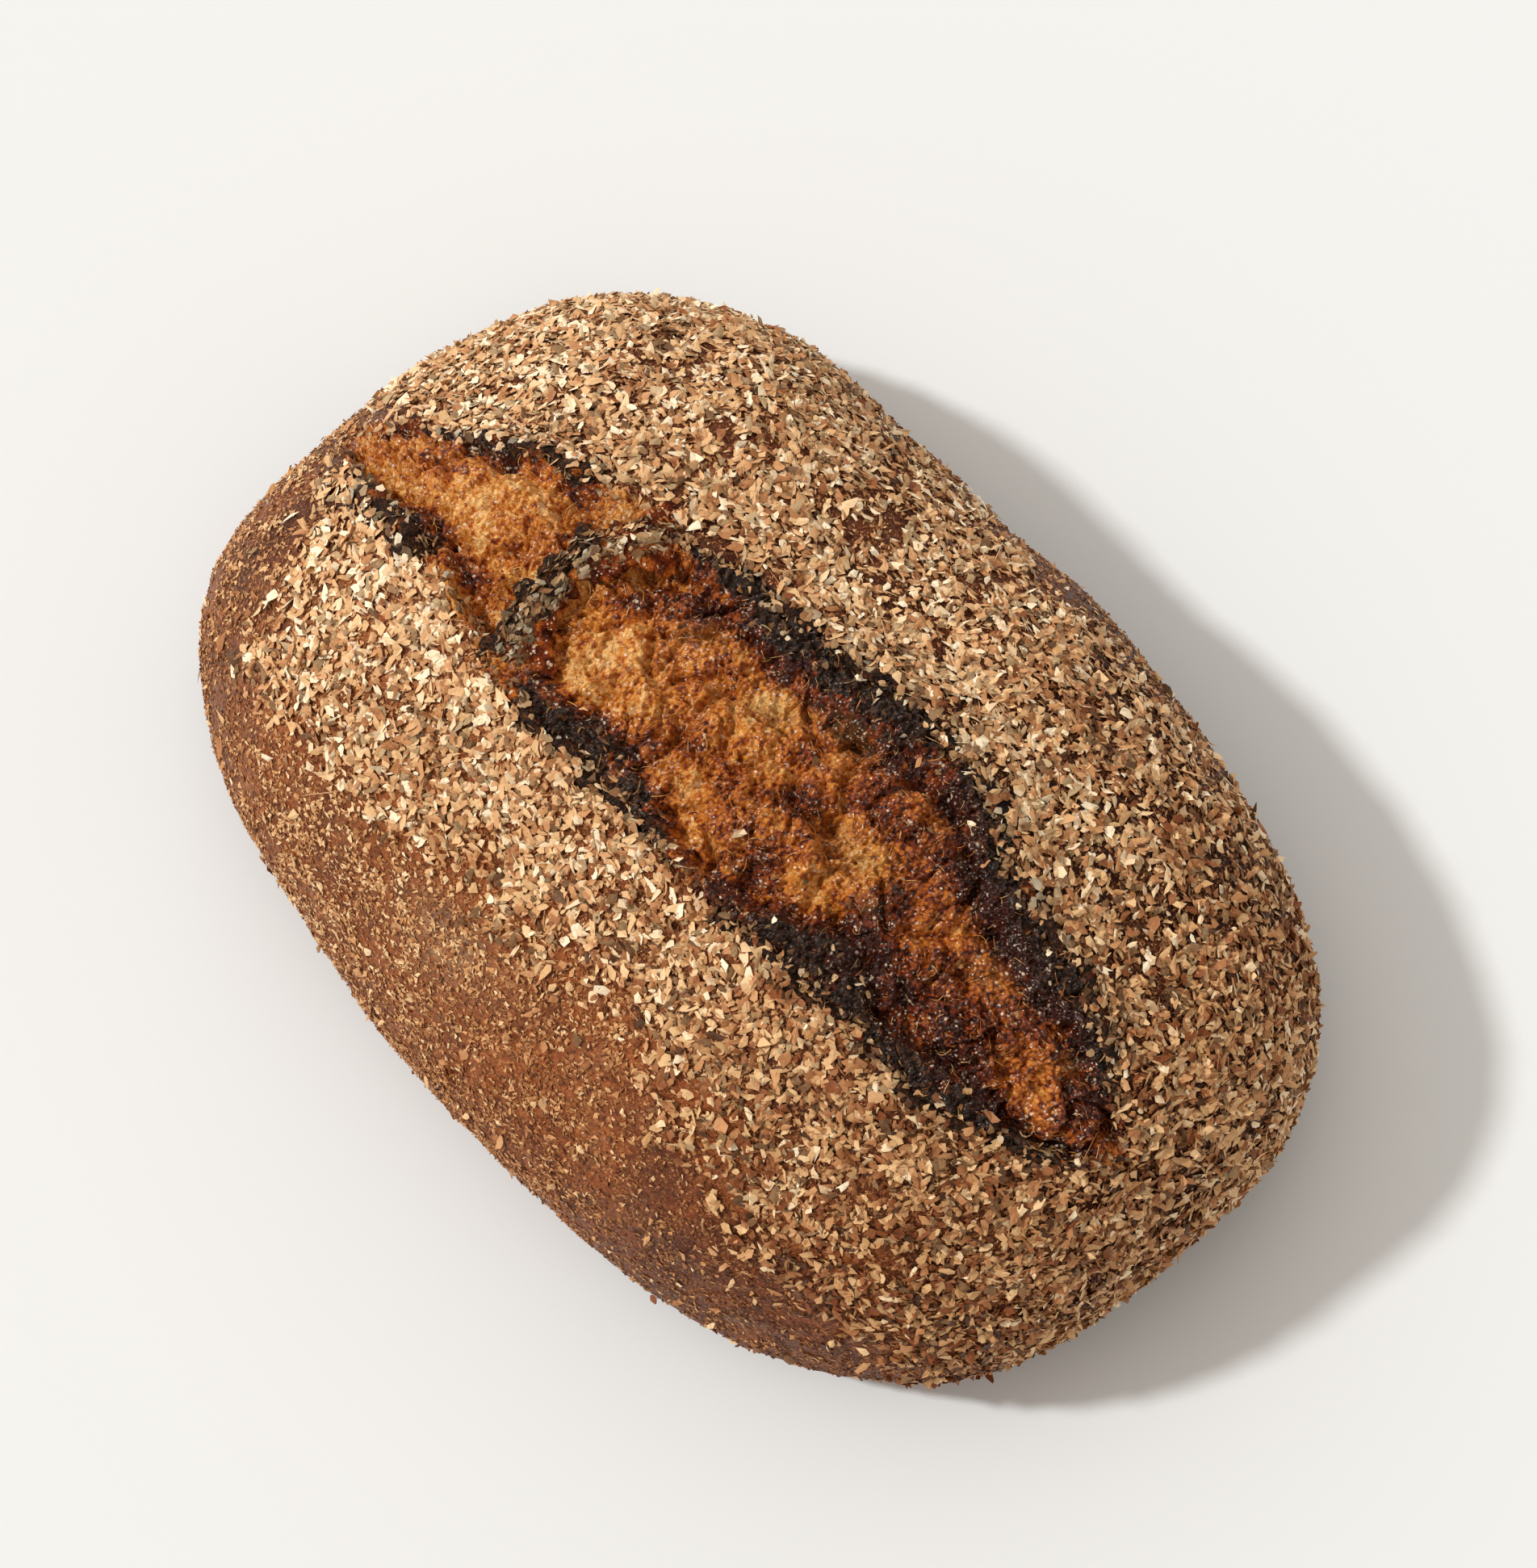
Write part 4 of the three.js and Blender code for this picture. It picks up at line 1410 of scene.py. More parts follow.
@dataclass
class TornCrumb:
    """The crumb that stands in the split, with the burnt rims at its sides."""

    form: LoafForm
    stations: int = 1500
    cells_across: int = 190
    strips: int = 3
    overlap: float = 1.3
    dive: float = 3.0
    rim_bulge_low: float = 2.0
    rim_bulge_high: float = 0.9
    form_boost: float = 1.35
    skirt: float = 5.0
    lump_rise: float = 2.1
    rib_rise: float = 1.3
    foam_rise: float = 1.1
    curd_rise: float = 1.3
    grain_rise: float = 0.9
    pit_depth: float = 2.4
    fold_depth: float = 2.4
    crease_depth: float = 1.3
    boulder_rise: float = 3.0
    bead_rise: float = 1.7
    tip_sink: float = 2.0
    least_band: float = 1.5
    surface: Surface = field(init=False)
    char: Array = field(init=False)
    outer: Array = field(init=False)

    def plan(self) -> tuple[Array, Array, Array]:
        """Plan of the patch: stations evenly along the arc, and shares across the split.

        Returns:
            X, Y and the share across, each one value for each grid vertex.
        """
        form = self.form
        fine = np.linspace(form.first_tip + 0.5, form.last_tip - 0.5, 4000)
        heights = form.dome_height(fine, np.zeros_like(fine))
        arc = np.concatenate([[0.0], np.cumsum(np.hypot(np.diff(fine), np.diff(heights)))])
        x = np.interp(np.linspace(0.0, arc[-1], self.stations + 1), arc, fine)
        low = form.torn_edge(1, x) - self.overlap
        high = form.torn_edge(4, x) + self.overlap
        across = np.linspace(0.0, 1.0, self.cells_across + 1)[:, None]
        y = mix(low[None], high[None], across)
        return np.broadcast_to(x, y.shape).copy(), y, np.broadcast_to(across, y.shape).copy()

    def level(self, x: Array, y: Array) -> Array:
        """Broad form: crumb in the middle, climbing at each side to just under the lip.

        Args:
            x: Places along the loaf.
            y: Places across it.

        Returns:
            Rise over the smooth dome.
        """
        form = self.form
        low, high = form.torn_edge(1, x), form.torn_edge(4, x)
        rim_low = np.maximum(form.torn_edge(2, x), low + 1.5)
        rim_high = np.minimum(form.torn_edge(3, x), high - 1.5)
        inside = ease(rim_low - 1.0, rim_low + 2.4, y)
        inside *= 1.0 - ease(rim_high - 3.2, rim_high + 0.8, y)
        share_low = np.clip((y - low) / (rim_low - low), 0.0, 1.0)
        share_high = np.clip((high - y) / (high - rim_high), 0.0, 1.0)
        rim_on_low = form.lip_rise(x, Side.LOW, False) - 0.2
        rim_on_low += self.rim_bulge_low * np.sin(math.pi * share_low)
        rim_on_high = form.lip_rise(x, Side.HIGH, False) - 0.2
        rim_on_high += self.rim_bulge_high * np.sin(math.pi * share_high)
        rim = np.where(y > (low + high) / 2, rim_on_high, rim_on_low)
        rise = mix(rim, form.crumb_rise(x, y, self.form_boost), inside)
        for hole in HOLES:
            rise += hole.amount * hole.bell_at(x, y)
        return rise * form.open_share(x)

    def ribs(self, points: Array) -> Array:
        """Drawn-out tear ribs: noise in coordinates squeezed along one turned direction."""
        turn = math.radians(-52.0)
        along = points[:, 0] * math.cos(turn) + points[:, 1] * math.sin(turn)
        across = points[:, 1] * math.cos(turn) - points[:, 0] * math.sin(turn)
        squeezed = np.column_stack([along * 0.35, across, points[:, 2]])
        return noise(squeezed, 4.2, 61)

    def relief(self, flat: Array) -> tuple[Array, Array, Array, Array]:
        """Relief of the torn dough, and of the rubble on its burnt rims.

        The dough is lumps less pits and creases, plus ribs, foam, curds and grains times a slow
        roughness. The rubble is domes of two sizes, part of the lumps and the grains. All of
        them are noise or distances to random spots, mostly in coordinates bent by noise.

        Args:
            flat: Places on the smooth dome.

        Returns:
            Rise of the dough, rise of the rubble, share of a crest, and distance to a grain.
        """
        warp = np.column_stack([noise(flat, 6.0, 71), noise(flat, 6.0, 72), noise(flat, 6.0, 73)])
        bent = flat + 1.8 * warp
        lumps = self.lump_rise * layered(bent, 11.0, 81, 2)
        drawn = 0.25 + 0.75 * bell(flat[:, 0], 8.0, 34.0)
        ribs = self.rib_rise * (0.6 - 2.0 * np.abs(self.ribs(bent))) * drawn
        bubbles = ease(0.12, 0.80, cell_distance(bent, 3.0, 93))
        foam = self.foam_rise * (bubbles - 0.5)
        small_bubbles = ease(0.12, 0.80, cell_distance(flat + 0.5 * warp, 1.5, 91))
        curds = self.curd_rise * (small_bubbles - 0.5)
        granule = cell_distance(flat + 0.3 * warp, 0.8, 100)
        grains = self.grain_rise * (0.45 - granule) + 0.3 * noise(flat, 0.7, 92)
        pore_field = ease(0.0, 0.5, noise(flat, 13.0, 94))
        pores = ease(0.42, 0.12, cell_distance(bent, 5.2, 90))
        pits = -self.pit_depth * pores * pore_field
        creases = self.fold_depth * ease(0.15, 0.0, np.abs(noise(bent, 15.0, 85)))
        fine_lines = ease(0.14, 0.0, np.abs(noise(bent, 9.0, 84)))
        creases += self.crease_depth * fine_lines
        rough = 0.85 + 0.5 * noise(flat, 12.0, 83)
        dough = lumps + pits - creases + rough * (ribs + foam + curds + grains)
        domes = self.boulder_rise * (0.55 - cell_distance(bent, 3.1, 96))
        domes += self.bead_rise * (0.5 - cell_distance(flat, 1.6, 87))
        rubble = domes + 0.6 * lumps + 0.8 * noise(flat, 0.9, 97) + grains
        crest = np.clip(0.5 + 0.35 * (foam + curds + 0.4 * lumps), 0.0, 1.0)
        return dough, rubble, crest, granule

    def rims(self, flat: Array) -> tuple[Array, Array, Array]:
        """How the crumb burns towards the crust edges.

        The band runs from 0 at the crust edge to 1 at the rim's inner limit, frayed by noise.

        Args:
            flat: Places on the smooth dome.

        Returns:
            How burnt each place is, its share of the rim, and the extra toast beside the rim.
        """
        form = self.form
        x, y = flat[:, 0], flat[:, 1]
        low, high = form.torn_edge(1, x), form.torn_edge(4, x)
        rim_low, rim_high = form.torn_edge(2, x), form.torn_edge(3, x)
        is_high = y > (low + high) / 2
        band_high = (high - y) / np.maximum(self.least_band, high - rim_high)
        band_low = (y - low) / np.maximum(self.least_band, rim_low - low)
        band = np.where(is_high, band_high, band_low)
        strength = np.where(is_high, char_strength(x, Side.HIGH), char_strength(x, Side.LOW))
        frayed = 0.45 * noise(flat, 5.5, 95) + 0.35 * noise(flat, 2.0, 89)
        char = strength * (1.0 - ease(0.45, 1.15, band + frayed))
        char = np.clip(char * (0.95 + 0.5 * noise(flat, 9.0, 88)), 0.0, 1.0)
        on_rim = 1.0 - ease(0.75, 1.15, band + 0.5 * frayed)
        ragged = 2.2 * noise(flat, 6.0, 95) + 1.6 * noise(flat, 2.2, 89)
        near_high = ease(rim_high - 5.0, rim_high + 1.0, y + ragged)
        near_low = ease(rim_low + 4.5, rim_low - 1.0, y + ragged)
        browned = (0.12 + 0.28 * strength) * np.maximum(near_high, near_low)
        return char, on_rim, browned

    def toast(self, flat: Array, crest: Array, granule: Array, browned: Array) -> Array:
        """How dark the crumb is: toast from slow noise, crests, tints and rims, darker towards +X,
        and painted shade in the gaps between grains.

        Args:
            flat: Places on the smooth dome.
            crest: Share of a crest.
            granule: Distance to a grain.
            browned: Extra toast beside the rims.

        Returns:
            0 for pale to 1 for dark.
        """
        x, y = flat[:, 0], flat[:, 1]
        toast = 0.14 + 0.42 * layered(flat, 11.0, 98, 2) + 0.16 * noise(flat, 2.4, 99)
        toast += 0.22 * crest
        # Gaps between the grains are darkened: painted shade
        toast += 0.36 * ease(0.38, 0.88, granule)
        toast += 0.12 * ease(-25.0, 15.0, x)
        toast += 0.19 * ease(20.0, 45.0, x)
        for tint in TINTS:
            toast += tint.amount * tint.bell_at(x, y)
        return np.clip(toast + browned, 0.0, 1.0)

    def build(self) -> list[Object]:
        """Makes the crumb patch and keeps its top as a surface.

        Returns:
            The crumb's strips along the split.
        """
        form = self.form
        x, y, across = self.plan()
        dome, outward = form.dome_over_plan(x, y)
        flat = dome.reshape(-1, 3)
        fx, fy = flat[:, 0], flat[:, 1]
        dough, rubble, crest, granule = self.relief(flat)
        char, on_rim, browned = self.rims(flat)
        relief = mix(dough, rubble, on_rim)

        reach = form.torn_edge(4, fx) - form.torn_edge(1, fx) + 2 * self.overlap
        border = np.minimum(across, 1.0 - across).ravel() * reach
        dive = self.dive * (1.0 - ease(0.0, self.overlap, border))
        rise = self.level(fx, fy) + form.swell(fx, fy) + relief * form.open_share(fx) - dive
        rise -= self.tip_sink * (1.0 - form.open_share(fx))
        top = dome + outward * rise.reshape(x.shape)[..., None]
        self.surface = Surface(top, surface_normals(top))

        hollow = np.zeros(len(flat))
        for pocket in POCKETS:
            hollow += pocket.amount * pocket.bell_at(fx, fy)
        hollow = np.clip(hollow, 0.0, 1.0) * (1.0 - char) * (1.1 - crest)
        self.char = char.reshape(x.shape)
        edge_gap = border + 1.2 * noise(flat, 3.0, 86)
        self.outer = (1.0 - ease(2.0, 4.5, edge_gap)).reshape(x.shape)

        toast = self.toast(flat, crest, granule, browned)
        fields = {"toast": toast, "char": char, "hollow": hollow}
        grids = {title: values.reshape(x.shape) for title, values in fields.items()}
        finish = CrumbFinish().build()
        pieces = [self.strip(number, top, grids) for number in range(self.strips)]
        for piece in pieces:
            piece.data.materials.append(finish)
        return pieces

    def strip(self, number: int, top: Array, grids: dict[str, Array]) -> Object:
        """One stretch of the patch, closed by upright walls and a flat underside.

        Args:
            number: Which stretch, counted along X.
            top: The whole patch's points.
            grids: Attributes on the same grid.

        Returns:
            The strip, without a material.
        """
        cuts = np.linspace(0, self.stations, self.strips + 1).astype(int)
        reach = slice(cuts[number], cuts[number + 1] + 1)
        rows, columns = top[:, reach].shape[:2]
        points = top[:, reach].reshape(-1, 3)
        ring = border_ring(rows, columns)
        lower = points[ring] - np.array([0.0, 0.0, self.skirt])
        count = len(points)
        low_ring = np.arange(count, count + len(ring))
        faces = [grid_quads(rows, columns), ring_quads(ring, low_ring)]
        near = low_ring[:columns]
        far_start = columns - 1 + rows - 1
        far = low_ring[far_start : far_start + columns][::-1]
        faces.append(np.stack([near[:-1], far[:-1], far[1:], near[1:]], axis=1))
        left = np.concatenate([[low_ring[0]], low_ring[far_start + columns - 1 :][::-1]])
        right = low_ring[columns - 1 : far_start + 1]
        faces.append(self.cap(right, near[-1]))
        faces.append(self.cap(left[::-1], far[0]))
        spread = np.concatenate([np.arange(count), ring])
        attributes = {title: grid[:, reach].ravel()[spread] for title, grid in grids.items()}
        places = np.concatenate([points, lower])
        name = f"torn_crumb_{number + 1}"
        piece = make_triangles(name, places, np.concatenate(faces), attributes, smooth=True)
        corners = np.empty(3 * len(piece.data.polygons), np.int32)
        piece.data.polygons.foreach_get("vertices", corners)
        on_top = corners.reshape(-1, 3).max(axis=1) < count
        piece.data.polygons.foreach_set("use_smooth", on_top)
        return piece

    @staticmethod
    def cap(chain: Array, first: int) -> Array:
        """Fan that closes the underside at one end of a strip.

        Args:
            chain: Vertex numbers from one long side to the other.
            first: Vertex number at which the fan turns.

        Returns:
            Quads, each a triangle with a repeated corner.
        """
        inner = chain[chain != first]
        start = np.full(len(inner) - 1, first)
        return np.stack([start, inner[1:], inner[:-1], inner[:-1]], axis=1)


@dataclass
class CrustStrap:
    """Bridge of scorched crust across the split."""

    form: LoafForm
    low_y: float = -20.0
    high_y: float = 21.0
    half_width: float = 6.4
    thickness: float = 2.8
    lift: float = 3.0
    squareness: float = 0.8
    cant: float = -0.24
    steps: int = 190
    sides: int = 84
    finish: CrumbFinish = CrumbFinish(name="burnt_crust", gloss=0.05)
    surface: Surface = field(init=False)

    def build(self) -> Object:
        """Carries a flat oval section along the strap's bow and roughens it.

        Returns:
            The strap's object.
        """
        form = self.form
        y = np.linspace(self.low_y, self.high_y, self.steps)
        spots = np.column_stack([y, np.full_like(y, 5.0), np.zeros_like(y)])
        x = form.strap_line(y) + 1.8 * noise(spots, 10.0, 101)
        middle, outward = form.dome_over_plan(x, y)
        along = unit(np.gradient(middle, axis=0))
        across = unit(np.cross(along, outward))
        across = unit(across + self.cant * outward)
        end = np.minimum(y - self.low_y, self.high_y - y)
        taper = ease(-1.0, 5.0, end)
        width = self.half_width * (1.0 + 0.7 * noise(spots, 6.0, 102)) * (0.8 + 0.5 * (1 - taper))
        height = self.thickness * (0.45 + 0.55 * taper)
        rise = form.swell(x, y) + self.lift * (0.15 + 0.85 * taper) - 0.4
        rise += 0.9 * noise(spots, 7.0, 103)
        turn = np.linspace(0.0, 2 * math.pi, self.sides, endpoint=False)
        flat_cos = np.sign(np.cos(turn)) * np.abs(np.cos(turn)) ** self.squareness
        flat_sin = np.sign(np.sin(turn)) * np.abs(np.sin(turn)) ** self.squareness
        uneven = 1.0 + 0.5 * noise(spots, 3.8, 108)[:, None] * np.sign(flat_cos)[None]
        side = (flat_cos[None] * uneven * width[:, None])[..., None] * across[:, None]
        up = flat_sin[None, :, None] * (height / 2)[:, None, None] * outward[:, None]
        centre = middle + outward * rise[:, None]
        tube = centre[:, None] + side + up
        flat = tube.reshape(-1, 3)
        bumps = 1.5 * (0.5 - cell_distance(flat, 2.3, 104)) + 1.7 * layered(flat, 4.4, 105, 3)
        push = unit(tube - centre[:, None])
        tube += push * bumps.reshape(tube.shape[:2])[..., None]
        self.surface = Surface(tube, unit(tube - centre[:, None]))
        places, quads = tube_parts(tube[None])
        char = 0.62 - 0.45 * ease(2.0, 12.0, places[:, 1]) - 0.12 * (places[:, 0] + 52.0)
        char = np.clip(char + 0.5 * noise(places, 5.0, 106), 0.0, 1.0)
        toast = np.clip(0.72 + 0.3 * noise(places, 3.0, 107), 0.0, 1.0)
        attributes = {"char": char, "toast": toast, "hollow": np.zeros(len(places))}
        piece = make_triangles("crust_strap", places, quads, attributes, smooth=True)
        piece.data.materials.append(self.finish.build())
        return piece


@dataclass
class CurledLips:
    """Burnt crust edges that stand up beside the split and curl over it.

    The section's middle line starts under the crust, climbs like a quarter sine wave towards
    the split and droops at its tip. The skin lies half a thickness to each side of that line.
    """

    form: LoafForm
    stretches: tuple[LipStretch, ...] = LIP_STRETCHES
    spacing: float = 0.45
    section_steps: int = 15
    root_depth: float = 1.2
    thickness: float = 1.7
    droop: float = 0.4
    fade: float = 5.0
    surfaces: list[Surface] = field(init=False, default_factory=list)

    def rings(self, stretch: LipStretch, seed: int) -> Array:
        """Rings of one stretch, and its surface kept for the bran.

        Args:
            stretch: The stretch.
            seed: Number that picks its noise.

        Returns:
            Points by step along the lip and side round it.
        """
        form = self.form
        steps = int((stretch.end - stretch.start) / self.spacing)
        x = np.linspace(stretch.start, stretch.end, steps)
        is_high = stretch.side is Side.HIGH
        y = form.torn_edge(4 if is_high else 1, x)
        middle, outward = form.dome_over_plan(x, y)
        along = unit(np.gradient(middle, axis=0))
        inward = unit(np.cross(along, outward)) * (1.0 if is_high else -1.0)
        spots = np.column_stack([x, y, np.full_like(x, float(seed))])
        end = np.minimum(x - stretch.start, stretch.end - x)
        size = ease(0.0, self.fade, end) * (1.0 + 0.45 * noise(spots, 6.0, 110 + seed))
        t = np.linspace(0.0, 1.0, self.section_steps)
        shift = mix(-stretch.reach, stretch.over, t)[None] * (0.6 + 0.4 * size[:, None])
        climb = np.sin(math.pi / 2 * np.minimum(1.0, 1.2 * t)) - self.droop * ease(0.7, 1.0, t)
        height = -self.root_depth + (self.root_depth + stretch.rise * size[:, None]) * climb[None]
        base = form.swell(x, y) + form.lip_rise(x, stretch.side, False) * form.open_share(x)
        line = middle[:, None] + shift[..., None] * inward[:, None]
        line += (base[:, None] + height - 0.3)[..., None] * outward[:, None]
        facing = unit(np.cross(np.gradient(line, axis=1), along[:, None]))
        facing *= np.sign(np.sum(facing * outward[:, None], axis=-1, keepdims=True) + 1e-9)
        fading = 0.35 + 0.65 * ease(0.0, self.fade, end)
        half = self.thickness / 2 * (1.0 - 0.5 * t) * fading[:, None]
        upper, lower = line + half[..., None] * facing, line - half[..., None] * facing
        loop = np.concatenate([upper, lower[:, ::-1]], axis=1)
        flat = loop.reshape(-1, 3)
        bumps = 0.9 * (0.5 - cell_distance(flat, 2.4, 115)) + 0.4 * noise(flat, 1.2, 116)
        away = unit(loop - line.mean(axis=1, keepdims=True))
        strength = size[:, None, None].clip(0.2, 1)
        loop += away * bumps.reshape(loop.shape[:2])[..., None] * strength
        self.surfaces.append(Surface(loop[:, : self.section_steps], facing))
        return loop

    def build(self) -> Object:
        """Makes all the stretches as one piece.

        Returns:
            The lips' object.
        """
        parts, faces, count = [], [], 0
        for seed, stretch in enumerate(self.stretches):
            places, quads = tube_parts(self.rings(stretch, seed)[None])
            parts.append(places)
            faces.append(quads + count)
            count += len(places)
        places = np.concatenate(parts)
        x, y = places[:, 0], places[:, 1]
        strength = np.where(y > 0, char_strength(x, Side.HIGH), char_strength(x, Side.LOW))
        char = np.clip(strength * (0.8 + 0.5 * noise(places, 5.0, 117)), 0.0, 1.0)
        toast = np.clip(0.7 + 0.3 * noise(places, 3.0, 118), 0.0, 1.0)
        attributes = {"char": char, "toast": toast, "hollow": np.zeros(count)}
        quads = np.concatenate(faces)
        piece = make_triangles("curled_lips", places, quads, attributes, smooth=True)
        piece.data.materials.append(bpy.data.materials["burnt_crust"])
        return piece


@dataclass
class CrumbFibres:
    """Thin strands of torn dough that stand on the crumb, each a bowed three-sided tube."""

    crumb: TornCrumb
    seed: int = 7
    count: int = 950
    top: float = 94.8
    steps: int = 6
    sides: int = 3

    def build(self) -> Object:
        """Bends each strand as an arc that leaves the crumb at a slant and sinks back.

        Returns:
            The strands' object.
        """
        rng = np.random.default_rng(self.seed)
        weight = (1.0 - 0.8 * self.crumb.char) * (self.crumb.surface.points[..., 2] < self.top)
        roots, normals = self.crumb.surface.scatter(self.count, weight, rng)
        length = rng.uniform(1.4, 4.6, (self.count, 1, 1))
        heading = unit(np.cross(normals, unit(rng.normal(size=(self.count, 3)))))
        sideways = np.cross(normals, heading)
        t = np.linspace(0.0, 1.0, self.steps)[None, :, None]
        bow = rng.uniform(0.12, 0.32, (self.count, 1, 1)) * length
        curl = rng.normal(0.0, 0.22, (self.count, 1, 1)) * length
        line = roots[:, None] + heading[:, None] * length * (t - 0.5)
        line += normals[:, None] * (bow * np.sin(math.pi * t) - 0.15)
        line += sideways[:, None] * curl * (t - 0.5) ** 2 * 2.0
        radius = rng.uniform(0.06, 0.13, (self.count, 1, 1)) * (1.0 - 0.5 * t)
        turn = np.arange(self.sides) * 2 * math.pi / self.sides
        across = np.cos(turn)[:, None] * sideways[:, None, None]
        across += np.sin(turn)[:, None] * normals[:, None, None]
        rings = line[:, :, None] + radius[..., None] * across
        places, quads = tube_parts(rings)
        spread = np.repeat(np.arange(self.count), self.steps * self.sides + 2)
        attributes = {
            "toast": rng.uniform(0.0, 0.6, self.count)[spread],
            "char": np.zeros(len(places)),
            "hollow": np.zeros(len(places)),
        }
        piece = make_triangles("crumb_fibres", places, quads, attributes, smooth=True)
        piece.data.materials.append(bpy.data.materials["torn_crumb"])
        return piece


@dataclass
class FlakeBatch:
    """Places, sizes and tones of many flakes, gathered before they become one mesh."""

    places: Array
    normals: Array
    radius: Array
    aspect: Array
    tilt: Array
    lift: Array
    thickness: Array
    tone: Array
    scorch: Array

    @staticmethod
    def join(batches: list["FlakeBatch"]) -> "FlakeBatch":
        """Puts several batches one after another."""
        names = FlakeBatch.__dataclass_fields__
        parts = {name: np.concatenate([getattr(b, name) for b in batches]) for name in names}
        return FlakeBatch(**parts)


@dataclass(frozen=True)
class FlakeCut:
    """One kind of flake: range of its radius, its tip, its height in the pile, its lengthening."""

    radius: Span
    tilt: float
    pile: float
    aspect: Span = (1.0, 1.45)


@dataclass(frozen=True)
class FlakeRim:
    """How uneven a flake's rim is: corners off their place, reach, cup, twist and crumple."""

    jitter: float = 0.44
    reach: Span = (0.55, 1.28)
    cup: float = 0.28
    twist: float = 0.20
    crumple: float = 0.06


RIM = FlakeRim()


def flake_mesh(
    name: str, batch: FlakeBatch, corners: int, finish: BranFinish, rng: Draws
) -> Object:
    """All flakes of one kind as one mesh of small closed chips.

    A chip has an uneven rim of a few corners that curls up or down, and one point above and
    one below its middle. Its frame is the surface's normal, tipped by a random step.

    Args:
        name: Name of the piece.
        batch: Places, sizes and tones.
        corners: Corners on each rim.
        finish: The kind's finish.
        rng: Source of the random numbers.

    Returns:
        The flakes' object.
    """
    count = len(batch.places)
    tip = rng.normal(size=(count, 3)) * batch.tilt[:, None]
    up = unit(batch.normals + tip - batch.normals * np.sum(tip * batch.normals, 1, keepdims=True))
    any_way = unit(rng.normal(size=(count, 3)))
    side = unit(np.cross(up, any_way))
    ahead = np.cross(up, side)
    step = np.arange(corners) + RIM.jitter * rng.uniform(-1, 1, (count, corners))
    turn = step * 2 * math.pi / corners
    reach = batch.radius[:, None] * rng.uniform(*RIM.reach, (count, corners))
    long = reach * np.cos(turn) * batch.aspect[:, None]
    wide = reach * np.sin(turn) / np.sqrt(batch.aspect)[:, None]
    bend = long / batch.aspect[:, None]
    cup = rng.normal(0.0, RIM.cup, (count, 1)) * bend**2 / batch.radius[:, None]
    cup += rng.normal(0.0, RIM.twist, (count, 1)) * bend * wide / batch.radius[:, None]
    cup += RIM.crumple * batch.radius[:, None] * rng.normal(size=(count, corners))
    rim = long[..., None] * side[:, None] + wide[..., None] * ahead[:, None]
    rim += cup[..., None] * up[:, None]
    half = (batch.thickness / 2)[:, None, None]
    middle = np.zeros((count, 1, 3))
    shape = np.concatenate([rim, middle + half * up[:, None], middle - half * up[:, None]], axis=1)
    centre = batch.places + batch.normals * batch.lift[:, None]
    places = (centre[:, None] + shape).reshape(-1, 3)
    k = np.arange(corners)
    above = np.stack([k, np.roll(k, -1), np.full(corners, corners)], axis=1)
    below = np.stack([np.roll(k, -1), k, np.full(corners, corners + 1)], axis=1)
    pattern = np.concatenate([above, below])
    faces = (np.arange(count) * (corners + 2))[:, None, None] + pattern[None]
    spread = np.repeat(np.arange(count), corners + 2)
    attributes = {"tone": batch.tone[spread], "scorch": batch.scorch[spread]}
    piece = make_object(name, places, faces.reshape(-1, 3), attributes, smooth=False)
    piece.data.materials.append(finish.build())
    return piece


